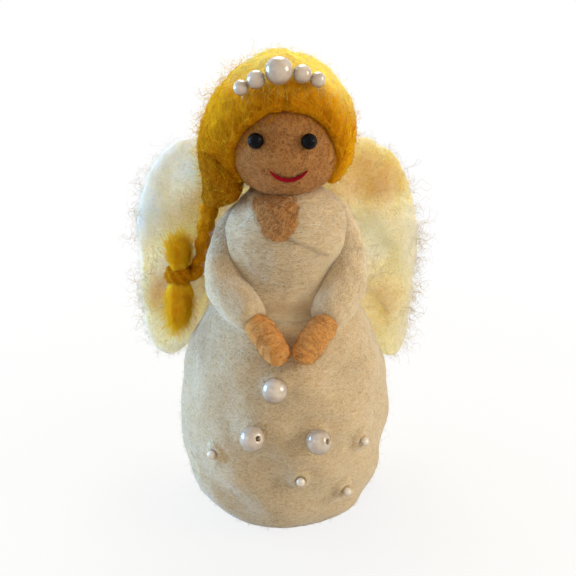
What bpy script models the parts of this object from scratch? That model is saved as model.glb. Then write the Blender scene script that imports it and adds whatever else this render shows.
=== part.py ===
"""A needle-felted wool angel doll with pearl beads, about 118 mm tall.

Metres, +Z up, origin in the middle of the flat underside. The doll faces -Y,
so its right hand is at -X. Azimuths run from the front (-Y) towards +X.
"""

import math

import bpy
import bmesh
from mathutils import Matrix, Vector

MM = 0.001

# Clearances
GAP = 0.3 * MM              # air between felted pieces that lie on each other
BORE_CLEARANCE = 0.3 * MM   # around a wire in its bore, on the radius
CUTTER_OVERRUN = 4.0 * MM   # how far a cutter stands out of what it cuts

# Skirt: a bell of two quarter ellipses that meet at its widest ring
SKIRT_RADIUS = 27.8 * MM
WIDEST_HEIGHT = 18.0 * MM
FOOT_RADIUS = 17.0 * MM
WAIST_HEIGHT = 59.0 * MM
WAIST_RADIUS = 12.6 * MM
SKIRT_WALL = 3.0 * MM
HEM_LIFT = 0.4 * MM         # the hem starts this far above the table
BASE_THICKNESS = 3.0 * MM
BASE_CHAMFER = 0.6 * MM
BASE_INSET = 0.7 * MM       # from the foot's edge in to the disc

# Soft forms of the felt: waves (how many round, how many up to the waist, phase in degrees) that are summed,
# and single swells (azimuth, spread in degrees, height, spread and rise)
SKIRT_LUMP = 0.6 * MM       # how high a lump stands over the bell
SKIRT_WAVES = ((4, 1.5, 20.0), (7, -2.0, 130.0), (9, 2.5, 250.0), (6, 3.5, 75.0))
SKIRT_SWELLS = (
    (78.0, 34.0, 13.0 * MM, 9.0 * MM, -1.9 * MM),
    (0.0, 34.0, 4.0 * MM, 5.0 * MM, 1.1 * MM),
)
LUMPS_BELOW_WAIST = 7.0 * MM
LUMP_RAMP = 6.0 * MM        # over which the lumps come up from the hem, the waist's edge and a pearl

# Bodice: a slim tube with round shoulders and a collar opening
BODICE_HEIGHT = 27.2 * MM
CHEST_RADIUS = 11.7 * MM
CHEST_ABOVE_WAIST = 7.0 * MM
SHOULDER_DROP = 12.2 * MM   # from the collar down to where the shoulder starts to round
COLLAR_RADIUS = 8.4 * MM
BODICE_WALL = 2.0 * MM
NECKLINE_HALF_WIDTH = 5.4 * MM
NECKLINE_DEPTH = 10.0 * MM
NECKLINE_OFFSET = -1.6 * MM

# Neck and head
NECK_RADIUS = 6.0 * MM
NECK_ROOT = 5.6 * MM        # from the collar down to the top of the core
HEAD_ABOVE_COLLAR = 12.8 * MM
HEAD_RADIUS = 14.4 * MM
HEAD_HALF_HEIGHT = 13.8 * MM
CHEEK_FULLNESS = 0.05

# Hair: an ellipsoid round the head, with an oval opening for the face
HAIR_THICKNESS = 4.3 * MM
HAIR_FLATTENING = 0.8 * MM  # less thick than that at the front and back
HAIR_LIFT = 0.8 * MM
HAIR_SIDE_SHIFT = -1.3 * MM
HAIR_BACK_SHIFT = 1.8 * MM
HAIR_END_ABOVE_COLLAR = 1.2 * MM
FACE_HALF_WIDTH = 12.2 * MM
FACE_HALF_HEIGHT = 15.4 * MM
FACE_DEPTH = 12.0 * MM
FACE_DROP = 6.0 * MM        # from the middle of the head down to the middle of the opening
LOCK_RADIUS = 4.4 * MM
LOCK_END_RADIUS = 2.6 * MM
LOCK_AZIMUTH = -83.0
LOCK_ELEVATION = -20.0
LOCK_SINK = 2.5 * MM
LOCK_RUN = Vector((-2.2, 4.4, -11.1)) * MM

# Braid, hung from the end of the side lock: its route from there in millimetres
STRAND_RADIUS = 1.9 * MM
STRAND_POINTS = ((0.0, 0.0, -2.0), (-1.2, 1.6, -7.4), (-2.2, 2.6, -12.6), (-3.0, 2.8, -18.6), (-5.3, 2.6, -22.6))
KNOT_OFFSET = Vector((-8.8, 2.4, -22.2)) * MM
KNOT_HALF_SIZE = Vector((3.0, 2.6, 2.4)) * MM
TUFT_LENGTH = 9.0 * MM
TUFT_ROOT_RADIUS = 1.5 * MM
TUFT_END_RADIUS = 2.6 * MM
TUFT_SWELL = 0.5 * MM
TUFT_LEAN = Vector((-0.05, 0.02, 1.0))
TAIL_LENGTH = 15.0 * MM
TAIL_ROOT_RADIUS = 2.1 * MM
TAIL_END_RADIUS = 1.7 * MM
TAIL_SWELL = 1.0 * MM
TAIL_LEAN = Vector((-0.1, -0.02, -1.0))

# Arms: turned sleeves on a wire, with ball ends at the shoulder and elbow
SHOULDER_BALL = 3.6 * MM
SLEEVE_RADIUS = 3.6 * MM
SLEEVE_SWELL = 0.2 * MM
CUFF_RADIUS = 3.3 * MM
SHOULDER_SIDE_GAP = 0.4 * MM
SHOULDER_TUCK = 0.9 * MM    # how far the ball sits into the bodice's side
ARM_BELOW_COLLAR = 9.0 * MM
ARM_BACK = 0.5 * MM
ELBOW_ABOVE_WAIST = 3.0 * MM
ELBOW_FORWARD = 7.0 * MM
ELBOW_SPLAY = 1.4 * MM
ELBOW_BEND = 62.0           # degrees, the sharpest bend between the two sleeves
WRIST_AZIMUTH = 26.0
WRIST_BELOW_WAIST = 0.2 * MM
WRIST_STANDOFF = 0.6 * MM
HANDS_MEET_X = 1.4 * MM
HANDS_APART = 0.5 * MM
HAND_TIP_BELOW_WAIST = 5.6 * MM
HAND_RADIUS = 3.1 * MM
HAND_END_RADIUS = 2.9 * MM
HAND_SWELL = 0.3 * MM
WIRE_RADIUS = 0.7 * MM
WIRE_PAST_BALL = 1.6 * MM   # how far the shoulder wire reaches past the ball's middle
WIRE_PAST_ELBOW = 2.2 * MM  # how far the forearm wire starts before the elbow's middle
WIRE_IN_HAND = 4.0 * MM

# Wings: padded leaves, fixed along a root line behind the chest
WING_TOP_ABOVE_COLLAR = 8.4 * MM
WING_TIP_BELOW_WAIST = 32.0 * MM
WING_WIDEST_ABOVE_WAIST = 4.2 * MM
WING_HALF_WIDTH = 16.8 * MM
WING_REACH = {"right": 39.0 * MM, "left": 36.0 * MM}
WING_THICKNESS = 4.8 * MM
WING_PUFF = 0.8 * MM        # how high a puff of loose wool stands over the leaf
WING_RIM_PUFF = 0.25        # share of the puffs that moves the wing's rim
WING_WAVES = ((0.5, 1.3, 40.0), (1.2, -0.9, 160.0), (0.9, 2.0, 285.0), (1.6, 1.1, 80.0))
WING_WAVE_SHIFT = {"right": 0.0, "left": 0.4}
WING_ROOT_X = 2.4 * MM
WING_TIP_SWEEP = 12.0 * MM  # how far out the tip goes
WING_SWEEP_START = 0.1      # share of the lower half above which nothing is swept
WING_SWEEP_POWER = 1.3
WING_NARROWING = 0.35       # of the width, at the tip
WING_SWEEP_BACK = 0.24      # metres back for each metre out
WING_DROP_BACK = 0.22       # metres back for each metre below the waist

# Pearls, their diameters and bores
PEARL_LARGE = 6.2 * MM
PEARL_MEDIUM = 4.2 * MM
PEARL_SMALL = 3.2 * MM
PEARL_SEED = 2.6 * MM
BORE_SHARE = 0.17           # bore radius for each unit of diameter
THREAD_RADIUS = 0.16 * MM
STITCH_DEPTH = 0.9          # how far a stitch goes down the pearl's side, as a share of its radius
STITCH_BEND = 22.0          # most degrees that a stitch turns at one of its points round the pearl

# On the skirt: azimuth in degrees, share of the skirt's height, diameter, turn and outward tilt of the bore
SKIRT_PEARLS = (
    (-5.0, 0.760, PEARL_LARGE, -35.0, 0.0),
    (-14.9, 0.565, PEARL_LARGE, 29.0, 39.0),
    (15.2, 0.552, PEARL_LARGE, 24.0, 50.0),
    (-38.4, 0.424, PEARL_SEED, 0.0, 0.0),
    (7.4, 0.363, PEARL_SEED, 0.0, 0.0),
    (32.0, 0.264, PEARL_SEED, 0.0, 0.0),
    (42.8, 0.470, PEARL_SEED, 0.0, 0.0),
)

# Tiara: the middle pearl's place on the hair in degrees, and the sizes outwards from it on each side
TIARA_AZIMUTH = -0.1
TIARA_ELEVATION = 49.6
TIARA_DROOP = 0.0071        # degrees lower for each square degree of azimuth outwards
TIARA_TILT = 0.11           # degrees higher for each degree of azimuth towards the doll's left
TIARA_MIDDLE = PEARL_LARGE
TIARA_SIDE = (PEARL_MEDIUM, PEARL_SMALL)
TIARA_SPACING = 0.15 * MM   # air between pearls of the row
TIARA_THREAD_END = 8.0      # degrees of azimuth from the last pearl to the thread's end

# Face: azimuth and elevation on the head, in degrees
EYE_DIAMETER = 3.3 * MM
EYE_SINK = 0.25             # share of the eye's diameter that sits in the felt
EYES = {"right": (-26.0, 10.0), "left": (21.0, 10.0)}
MOUTH_RADIUS = 0.45 * MM
MOUTH_AZIMUTH = 3.5
MOUTH_HALF_WIDTH = 17.5
MOUTH_CORNER_ELEVATION = -17.5
MOUTH_MIDDLE_ELEVATION = -27.0

# Heights that follow from these
COLLAR_HEIGHT = WAIST_HEIGHT + BODICE_HEIGHT
CHEST_HEIGHT = WAIST_HEIGHT + CHEST_ABOVE_WAIST
SHOULDER_HEIGHT = COLLAR_HEIGHT - SHOULDER_DROP
CORE_TOP = COLLAR_HEIGHT - NECK_ROOT - GAP
HEAD_HEIGHT = COLLAR_HEIGHT + HEAD_ABOVE_COLLAR
BASE_RADIUS = FOOT_RADIUS - BASE_INSET

TURN_STEPS = 24
SKIRT_STEPS = 36
LIMB_STEPS = 14
KNOT_RINGS = 8
WING_SEGMENTS = (26, 20)    # round the leaf, and from its tip to its top
LARGE_BEAD = (8, 16)        # points of a bead's arc, and steps round it
SMALL_BEAD = (6, 12)
TINY_BEAD = (5, 10)

SIDES = {"right": -1, "left": 1}

COLOURS = {
    "dress_wool": ((222, 208, 180), 0.95, 0.0),
    "core_wool": ((214, 203, 184), 0.95, 0.0),
    "base_felt": ((206, 194, 170), 0.95, 0.0),
    "skin_wool": ((190, 138, 88), 0.92, 0.0),
    "hair_wool": ((198, 138, 20), 0.9, 0.0),
    "wing_wool": ((236, 224, 188), 0.95, 0.0),
    "pearl": ((232, 226, 216), 0.2, 0.0),
    "eye_bead": ((16, 14, 17), 0.2, 0.0),
    "mouth_wool": ((158, 18, 36), 0.85, 0.0),
    "wire": ((170, 168, 162), 0.4, 1.0),
    "thread": ((228, 222, 210), 0.7, 0.0),
}


def clear_scene():
    for obj in list(bpy.data.objects):
        bpy.data.objects.remove(obj)


def collection(name):
    made = bpy.data.collections.new(name)
    bpy.context.scene.collection.children.link(made)
    return made


def linear(value):
    """One sRGB channel, 0 to 255, as linear light."""
    share = value / 255
    return share / 12.92 if share <= 0.04045 else ((share + 0.055) / 1.055) ** 2.4


def material(name):
    """The Principled material of one finish, made once."""
    found = bpy.data.materials.get(name)
    if found:
        return found
    rgb, roughness, metallic = COLOURS[name]
    made = bpy.data.materials.new(name)
    made.use_nodes = True
    shader = made.node_tree.nodes["Principled BSDF"]
    shader.inputs["Base Color"].default_value = (*map(linear, rgb), 1.0)
    shader.inputs["Roughness"].default_value = roughness
    shader.inputs["Metallic"].default_value = metallic
    return made


def add(name, data, finish):
    """A part of the doll, or a cutter where finish is None."""
    obj = bpy.data.objects.new(name, data)
    if finish is None:
        CUTTERS.objects.link(obj)
        obj.hide_render = True
        obj.display_type = "WIRE"
    else:
        DOLL.objects.link(obj)
        data.materials.append(material(finish))
    return obj


def turned(name, profile, finish, steps=TURN_STEPS, ring=False):
    """A solid of revolution about local Z. profile is (radius, height), down the outer side from the top."""
    mesh = bpy.data.meshes.new(name)
    last = len(profile) - 1
    edges = [(i, i + 1) for i in range(last)]
    if ring:
        edges.append((last, 0))
    mesh.from_pydata([(radius, 0.0, height) for radius, height in profile], edges, [])
    obj = add(name, mesh, finish)
    screw = obj.modifiers.new("turn", "SCREW")
    screw.angle = 2 * math.pi
    screw.steps = steps
    screw.render_steps = steps
    screw.use_merge_vertices = True
    screw.merge_threshold = 0.00001
    return obj


def ball(name, radii, centre, finish=None, rings=12):
    """An ellipsoid of the three half sizes."""
    mesh = bpy.data.meshes.new(name)
    shape = bmesh.new()
    bmesh.ops.create_uvsphere(shape, u_segments=2 * rings, v_segments=rings, radius=1.0)
    bmesh.ops.scale(shape, vec=radii, verts=shape.verts)
    shape.to_mesh(mesh)
    shape.free()
    obj = add(name, mesh, finish)
    obj.location = centre
    return obj


def tube(name, points, radius, finish, sides=1):
    """A round wire or thread along the points."""
    curve = bpy.data.curves.new(name, "CURVE")
    curve.dimensions = "3D"
    curve.bevel_depth = radius
    curve.bevel_resolution = sides
    curve.use_fill_caps = True
    spline = curve.splines.new("POLY")
    spline.points.add(len(points) - 1)
    for spot, point in zip(spline.points, points):
        spot.co = (*point, 1.0)
    return add(name, curve, finish)


def solid(made, finish):
    """The object with its curve or modifiers made a closed mesh under the same name, to be cut or shaped."""
    graph = bpy.context.evaluated_depsgraph_get()
    mesh = bpy.data.meshes.new_from_object(made.evaluated_get(graph))
    shape = bmesh.new()
    shape.from_mesh(mesh)
    bmesh.ops.remove_doubles(shape, verts=shape.verts, dist=0.00001)
    bmesh.ops.recalc_face_normals(shape, faces=shape.faces)
    shape.to_mesh(mesh)
    shape.free()
    name, matrix = made.name, made.matrix_world.copy()
    bpy.data.objects.remove(made)
    mesh.materials.clear()
    obj = add(name, mesh, finish)
    obj.matrix_world = matrix
    return obj


def boolean(target, other, operation="DIFFERENCE"):
    step = target.modifiers.new(operation.lower(), "BOOLEAN")
    step.object = other
    step.operation = operation
    step.solver = "EXACT"


def pivot(name, location, parent=None):
    """An empty on a joint's axis."""
    empty = bpy.data.objects.new(name, None)
    DOLL.objects.link(empty)
    empty.empty_display_size = 4 * MM
    empty.location = location
    if parent is not None:
        attach(empty, parent)
    return empty


def attach(obj, parent):
    """Parents obj and leaves it where it is."""
    bpy.context.view_layer.update()
    obj.parent = parent
    obj.matrix_parent_inverse = parent.matrix_world.inverted()
    return obj


def aim(obj, start, direction):
    """Puts obj at start with its local +Z along direction."""
    obj.location = start
    obj.rotation_mode = "QUATERNION"
    obj.rotation_quaternion = direction.to_track_quat("Z", "Y")
    return obj


def around(azimuth, radius, height):
    """The point at this azimuth, in degrees from the front towards +X."""
    angle = math.radians(azimuth)
    return Vector((radius * math.sin(angle), -radius * math.cos(angle), height))


# Profiles of the body

def skirt_radius(height, grow=0.0):
    """The bell's radius at a height: an ellipse to the waist above the widest ring, another to the foot below."""
    if height >= WIDEST_HEIGHT:
        share = min(1.0, (height - WIDEST_HEIGHT) / (WAIST_HEIGHT - WIDEST_HEIGHT))
        inner = WAIST_RADIUS
    else:
        share = min(1.0, (WIDEST_HEIGHT - height) / WIDEST_HEIGHT)
        inner = FOOT_RADIUS
    return inner + (SKIRT_RADIUS - inner) * math.sqrt(1 - share * share) + grow


def skirt_profile(side_points=11, hem_points=6):
    """The bell's outline, from the waist down to the foot."""
    outline = []
    for i in range(side_points):
        angle = math.pi / 2 * (1 - i / side_points)
        outline.append((
            WAIST_RADIUS + (SKIRT_RADIUS - WAIST_RADIUS) * math.cos(angle),
            WIDEST_HEIGHT + (WAIST_HEIGHT - WIDEST_HEIGHT) * math.sin(angle),
        ))
    for i in range(hem_points + 1):
        angle = math.pi / 2 * i / hem_points
        outline.append((
            FOOT_RADIUS + (SKIRT_RADIUS - FOOT_RADIUS) * math.cos(angle),
            HEM_LIFT + (WIDEST_HEIGHT - HEM_LIFT) * (1 - math.sin(angle)),
        ))
    return outline


def bodice_profile(shoulder_points=4):
    """The bodice's outline, from the collar down to the waist."""
    outline = []
    for i in range(shoulder_points + 1):
        angle = math.pi / 2 * (1 - i / shoulder_points)
        outline.append((
            COLLAR_RADIUS + (CHEST_RADIUS - COLLAR_RADIUS) * math.cos(angle),
            SHOULDER_HEIGHT + (COLLAR_HEIGHT - SHOULDER_HEIGHT) * math.sin(angle),
        ))
    outline.append((CHEST_RADIUS, CHEST_HEIGHT))
    outline.append(((CHEST_RADIUS + WAIST_RADIUS) / 2, (CHEST_HEIGHT + WAIST_HEIGHT) / 2))
    outline.append((WAIST_RADIUS, WAIST_HEIGHT + GAP))
    return outline


def inset(profile, distance):
    """The outline moved inwards, square to itself. A negative distance moves it outwards."""
    moved = []
    for i, (radius, height) in enumerate(profile):
        before = profile[max(i - 1, 0)]
        after = profile[min(i + 1, len(profile) - 1)]
        along = Vector((after[0] - before[0], after[1] - before[1])).normalized()
        moved.append((radius + along.y * distance, height - along.x * distance))
    return moved


def waves(rows, across, up):
    """Cosine waves over a surface, summed to about -1 to 1."""
    angles = (2 * math.pi * (a * across + b * up) + math.radians(phase) for a, b, phase in rows)
    return sum(math.cos(angle) for angle in angles) / math.sqrt(len(rows))


def ramp(distance):
    """0 at no distance, 1 from the length of the ramp on."""
    return max(0.0, min(1.0, distance / LUMP_RAMP))


def skirt_lump(azimuth, height):
    """How far the felt stands over the bell: lumps that keep clear of the hem, the waist and the pearls, and
    the single swells."""
    calm = ramp(height) * ramp(WAIST_HEIGHT - LUMPS_BELOW_WAIST - height)
    place = around(azimuth, skirt_radius(height), height)
    for pearl_azimuth, share, size, *_ in SKIRT_PEARLS:
        seat = around(pearl_azimuth, skirt_radius(share * WAIST_HEIGHT), share * WAIST_HEIGHT)
        calm *= ramp((place - seat).length - size / 6)
    lump = calm * SKIRT_LUMP * waves(SKIRT_WAVES, azimuth / 360, height / WAIST_HEIGHT)
    for middle, spread, level, level_spread, rise in SKIRT_SWELLS:
        far = ((azimuth - middle) / spread) ** 2 + ((height - level) / level_spread) ** 2
        lump += rise * math.exp(-far) * ramp(height)
    return lump


def felted(bell):
    """The bell's outer side moved out and in by the skirt's lumps; its inner side stays."""
    for vert in bell.data.vertices:
        x, y, height = vert.co
        radius = math.hypot(x, y)
        if radius > skirt_radius(height) - SKIRT_WALL / 2:
            azimuth = math.degrees(math.atan2(x, -y))
            vert.co = around(azimuth, radius + skirt_lump(azimuth, height), height)
    return bell


def shell(name, profile, wall, finish, steps=TURN_STEPS):
    """A turned skin whose wall goes inwards from the outline."""
    obj = turned(name, profile, finish, steps)
    thicken = obj.modifiers.new("wall", "SOLIDIFY")
    thicken.thickness = wall
    thicken.offset = -1.0
    thicken.use_even_offset = True
    return obj


def head_radius(elevation, grow=0.0):
    """(radius, height) on the head's outline at an elevation in radians, fuller at the cheeks."""
    full = 1 - CHEEK_FULLNESS * math.sin(elevation)
    radius = (HEAD_RADIUS + grow) * math.cos(elevation) * full
    return radius, HEAD_HEIGHT + (HEAD_HALF_HEIGHT + grow) * math.sin(elevation)


def head_point(azimuth, elevation, grow=0.0):
    radius, height = head_radius(math.radians(elevation), grow)
    return around(azimuth, radius, height)


def head_profile(grow=0.0, points=12):
    turns = [math.pi / 2 - math.pi * i / points for i in range(points + 1)]
    outline = [head_radius(turn, grow) for turn in turns]
    outline[0] = (0.0, outline[0][1])
    outline[-1] = (0.0, outline[-1][1])
    return outline


def hair_centre():
    return Vector((HAIR_SIDE_SHIFT, HAIR_BACK_SHIFT, HEAD_HEIGHT + HAIR_LIFT))


def hair_radii(grow=0.0):
    half = HEAD_RADIUS + HAIR_THICKNESS + grow
    return Vector((half, half - HAIR_FLATTENING, half))


def hair_point(azimuth, elevation, grow=0.0):
    """A point over the hair, seen from the middle of the hair."""
    radii = hair_radii(grow)
    flat = math.cos(math.radians(elevation))
    direction = around(azimuth, flat, math.sin(math.radians(elevation)))
    return hair_centre() + Vector([a * b for a, b in zip(direction, radii)])


# Body

def make_body():
    skirt = felted(solid(shell("skirt", skirt_profile(), SKIRT_WALL, "dress_wool", SKIRT_STEPS), "dress_wool"))
    bodice = shell("bodice", bodice_profile(), BODICE_WALL, "dress_wool")

    turned("base_disc", [
        (0.0, BASE_THICKNESS), (BASE_RADIUS - BASE_CHAMFER, BASE_THICKNESS),
        (BASE_RADIUS, BASE_THICKNESS - BASE_CHAMFER), (BASE_RADIUS, 0.0), (0.0, 0.0),
    ], "base_felt")
    base_cut = turned("base_recess", [
        (0.0, BASE_THICKNESS + GAP), (BASE_RADIUS + GAP, BASE_THICKNESS + GAP),
        (BASE_RADIUS + GAP, -CUTTER_OVERRUN), (0.0, -CUTTER_OVERRUN),
    ], None)
    boolean(skirt, base_cut)

    outline = [p for p in inset(bodice_profile(), BODICE_WALL + GAP) if p[1] < CORE_TOP]
    outline += [p for p in inset(skirt_profile(5, 3), SKIRT_WALL + GAP) if p[1] > BASE_THICKNESS + GAP]
    top_radius = outline[0][0]
    foot_radius = min(outline[-1][0], FOOT_RADIUS)
    core = turned("body_core", [
        (0.0, CORE_TOP), (min(top_radius, NECK_RADIUS), CORE_TOP), *outline,
        (foot_radius, BASE_THICKNESS + GAP), (0.0, BASE_THICKNESS + GAP),
    ], "core_wool")

    neckline = ball("neckline", (NECKLINE_HALF_WIDTH, CHEST_RADIUS, NECKLINE_DEPTH),
                    (NECKLINE_OFFSET, -CHEST_RADIUS, COLLAR_HEIGHT))
    patch_form = ball("patch_form", (NECKLINE_HALF_WIDTH - GAP, CHEST_RADIUS - GAP, NECKLINE_DEPTH - GAP),
                      (NECKLINE_OFFSET, -CHEST_RADIUS, COLLAR_HEIGHT))
    patch = shell("chest_patch", bodice_profile(), BODICE_WALL, "skin_wool")
    boolean(patch, patch_form, "INTERSECT")
    boolean(bodice, neckline)

    neck = turned("neck", [
        (0.0, HEAD_HEIGHT - HEAD_HALF_HEIGHT / 2), (NECK_RADIUS, HEAD_HEIGHT - HEAD_HALF_HEIGHT / 2),
        (NECK_RADIUS, CORE_TOP + GAP), (0.0, CORE_TOP + GAP),
    ], "skin_wool")
    head_room = turned("head_room", head_profile(GAP), None)
    boolean(neck, head_room)
    return skirt, bodice, core


def make_rooms():
    """Cutters that keep what lies on the skirt and the bodice a gap clear of them."""
    bell = [(0.0, WAIST_HEIGHT + GAP), *inset(skirt_profile(), -GAP), (0.0, HEM_LIFT)]
    skirt_room = felted(solid(turned("skirt_room", bell, None, SKIRT_STEPS), None))
    chest = [(0.0, COLLAR_HEIGHT + GAP), *inset(bodice_profile(), -GAP), (0.0, WAIST_HEIGHT)]
    return skirt_room, turned("bodice_room", chest, None)


# Head

def make_head(joint):
    head = turned("head_ball", head_profile(), "skin_wool")
    attach(head, joint)
    for side, (azimuth, elevation) in EYES.items():
        radius = EYE_DIAMETER / 2
        place = head_point(azimuth, elevation, radius - EYE_SINK * EYE_DIAMETER)
        socket = ball(f"{side}_eye_socket", (radius + GAP,) * 3, place)
        boolean(head, socket)
        across = around(azimuth + 90, 1.0, 0.0)
        attach(pearl(f"{side}_eye", EYE_DIAMETER, place, across, "eye_bead", TINY_BEAD), joint)

    hair = ball("hair_cap", hair_radii(), hair_centre(), "hair_wool")
    boolean(hair, turned("scalp_room", head_profile(GAP), None))
    face = ball("face_opening", (FACE_HALF_WIDTH, FACE_DEPTH, FACE_HALF_HEIGHT),
                (0.0, -HEAD_RADIUS, HEAD_HEIGHT - FACE_DROP))
    boolean(hair, face)
    wide = HEAD_RADIUS + HAIR_THICKNESS + CUTTER_OVERRUN
    trim = box_cutter("hair_trim", (-wide, -wide, 0.0), (wide, wide, COLLAR_HEIGHT + HAIR_END_ABOVE_COLLAR))
    boolean(hair, trim)
    attach(hair, joint)

    lock = limb("side_lock", lock_root(), lock_end(), LOCK_RADIUS, LOCK_END_RADIUS, "hair_wool")
    boolean(lock, ball("hair_room", hair_radii(GAP), hair_centre()))
    attach(lock, joint)

    attach(make_mouth(), joint)
    make_tiara(joint)


def make_mouth(points=9):
    """A smile of one felted strand that lies on the face."""
    lift = MOUTH_RADIUS + GAP
    line = []
    for i in range(points):
        share = 2 * i / (points - 1) - 1
        elevation = MOUTH_MIDDLE_ELEVATION + (MOUTH_CORNER_ELEVATION - MOUTH_MIDDLE_ELEVATION) * share * share
        line.append(head_point(MOUTH_AZIMUTH + MOUTH_HALF_WIDTH * share, elevation, lift))
    return tube("mouth", line, MOUTH_RADIUS, "mouth_wool")


def tiara_point(azimuth, lift):
    """A point over the hair on the tiara's row."""
    out = azimuth - TIARA_AZIMUTH
    return hair_point(azimuth, TIARA_ELEVATION - TIARA_DROOP * out * out + TIARA_TILT * out, lift)


def next_azimuth(azimuth, size, next_size, way):
    """Where the next pearl of the row clears this one by the spacing, found by halving."""
    here = tiara_point(azimuth, size / 2 + GAP)
    low, high = 0.0, 80.0
    for _ in range(30):
        step = (low + high) / 2
        there = tiara_point(azimuth + way * step, next_size / 2 + GAP)
        if (there - here).length < (size + next_size) / 2 + TIARA_SPACING:
            low = step
        else:
            high = step
    return azimuth + way * high


def tiara_row():
    """(azimuth, diameter) of each pearl, from the doll's right to its left."""
    row = [(TIARA_AZIMUTH, TIARA_MIDDLE)]
    for way in (-1, 1):
        azimuth, size = TIARA_AZIMUTH, TIARA_MIDDLE
        for next_size in TIARA_SIDE:
            azimuth = next_azimuth(azimuth, size, next_size, way)
            size = next_size
            row.append((azimuth, size))
    return sorted(row)


def make_tiara(joint):
    """Pearls in a row on one thread, which dips to the hair at both ends."""
    row = tiara_row()
    centres = [tiara_point(azimuth, size / 2 + GAP) for azimuth, size in row]
    low = THREAD_RADIUS + GAP
    first = tiara_point(row[0][0] - TIARA_THREAD_END, low)
    last = tiara_point(row[-1][0] + TIARA_THREAD_END, low)
    line = [first, *centres, last]
    route = [first]
    for i, (_, size) in enumerate(row, start=1):
        along = (line[i + 1] - line[i - 1]).normalized()
        detail = LARGE_BEAD if size == TIARA_MIDDLE else SMALL_BEAD
        attach(pearl(f"tiara_pearl_{i}", size, line[i], along, "pearl", detail), joint)
        route += [line[i] - along * size / 2, line[i] + along * size / 2]
    route.append(last)
    attach(tube("tiara_thread", route, THREAD_RADIUS, "thread"), joint)


def pearl(name, diameter, centre, bore_direction, finish, detail):
    """A bored bead: a turned ring whose outer side is an arc."""
    arc_points, steps = detail
    radius = diameter / 2
    bore = diameter * BORE_SHARE
    start = math.acos(bore / radius)
    turns = [start - 2 * start * i / arc_points for i in range(arc_points + 1)]
    obj = turned(name, [(radius * math.cos(t), radius * math.sin(t)) for t in turns], finish, steps, ring=True)
    return aim(obj, centre, Vector(bore_direction))


def limb_profile(length, start_radius, end_radius, swell, bore=0.0, bore_depth=None, cap_points=4):
    """A padded tube with round ends centred at 0 and length, fuller in the middle by swell."""
    outline = []
    for i in range(cap_points):
        angle = math.pi / 2 * (1 - i / cap_points)
        outline.append((end_radius * math.cos(angle), length + end_radius * math.sin(angle)))
    for share in (1.0, 0.7, 0.4, 0.15, 0.0):
        radius = start_radius + (end_radius - start_radius) * share
        outline.append((radius + swell * math.sin(math.pi * share), length * share))
    for i in range(1, cap_points + 1):
        angle = math.pi / 2 * i / cap_points
        outline.append((start_radius * math.cos(angle), -start_radius * math.sin(angle)))
    outline[0] = (0.0, outline[0][1])
    outline[-1] = (0.0, outline[-1][1])
    if bore and bore_depth is None:
        outline = [p for p in outline if p[0] > bore * 1.1]
        outline = [(bore, outline[0][1]), *outline, (bore, outline[-1][1])]
    elif bore:
        outline[-1] = (bore, outline[-2][1])
        outline += [(bore, bore_depth), (0.0, bore_depth)]
    return outline


def limb(name, start, end, start_radius, end_radius, finish, swell=0.0, bore=0.0, bore_depth=None):
    """A soft limb from start to end; with a bore, open from end to end or down to bore_depth from its start."""
    along = end - start
    outline = limb_profile(along.length, start_radius, end_radius, swell, bore, bore_depth)
    obj = turned(name, outline, finish, LIMB_STEPS, ring=bool(bore) and bore_depth is None)
    return aim(obj, start, along)


def box_cutter(name, low, high):
    mesh = bpy.data.meshes.new(name)
    shape = bmesh.new()
    bmesh.ops.create_cube(shape, size=1.0)
    size = [b - a for a, b in zip(low, high)]
    bmesh.ops.scale(shape, vec=size, verts=shape.verts)
    shape.to_mesh(mesh)
    shape.free()
    obj = add(name, mesh, None)
    obj.location = [(a + b) / 2 for a, b in zip(low, high)]
    return obj


# Braid

def lock_root():
    return hair_point(LOCK_AZIMUTH, LOCK_ELEVATION, -LOCK_SINK)


def lock_end():
    return lock_root() + LOCK_RUN


def make_braid(joint):
    strand = tube("braid_strand", [lock_end() + Vector(p) * MM for p in STRAND_POINTS], STRAND_RADIUS, "hair_wool", 2)
    knot_at = lock_end() + KNOT_OFFSET
    knot = ball("braid_knot", KNOT_HALF_SIZE, knot_at, "hair_wool", KNOT_RINGS)
    tuft_end = knot_at + TUFT_LEAN.normalized() * TUFT_LENGTH
    tail_end = knot_at + TAIL_LEAN.normalized() * TAIL_LENGTH
    tuft = limb("braid_tuft", knot_at, tuft_end, TUFT_ROOT_RADIUS, TUFT_END_RADIUS, "hair_wool", TUFT_SWELL)
    tail = limb("braid_tail", knot_at, tail_end, TAIL_ROOT_RADIUS, TAIL_END_RADIUS, "hair_wool", TAIL_SWELL)
    strand = solid(strand, "hair_wool")
    room = ball("knot_room", KNOT_HALF_SIZE + Vector((GAP, GAP, GAP)), knot_at, rings=KNOT_RINGS)
    for piece in (tuft, tail, strand):
        boolean(piece, room)
    lock_room = limb("lock_room", lock_root(), lock_end(), LOCK_RADIUS + GAP, LOCK_END_RADIUS + GAP, None)
    boolean(strand, lock_room)
    for piece in (strand, knot, tuft, tail):
        attach(piece, joint)


# Arms

def shoulder(side):
    x = SIDES[side] * (CHEST_RADIUS + SHOULDER_SIDE_GAP + SLEEVE_RADIUS - SHOULDER_TUCK)
    return Vector((x, ARM_BACK, COLLAR_HEIGHT - ARM_BELOW_COLLAR))


def elbow(side):
    x = shoulder(side).x + SIDES[side] * ELBOW_SPLAY
    return Vector((x, ARM_BACK - ELBOW_FORWARD, WAIST_HEIGHT + ELBOW_ABOVE_WAIST))


def wrist(side):
    """Where the cuff ends, over the front of the skirt."""
    height = WAIST_HEIGHT - WRIST_BELOW_WAIST
    reach = skirt_radius(height - CUFF_RADIUS) + WRIST_STANDOFF
    middle = around(SIDES[side] * WRIST_AZIMUTH, reach, height)
    return middle + Vector((HANDS_MEET_X, 0.0, 0.0))


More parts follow.
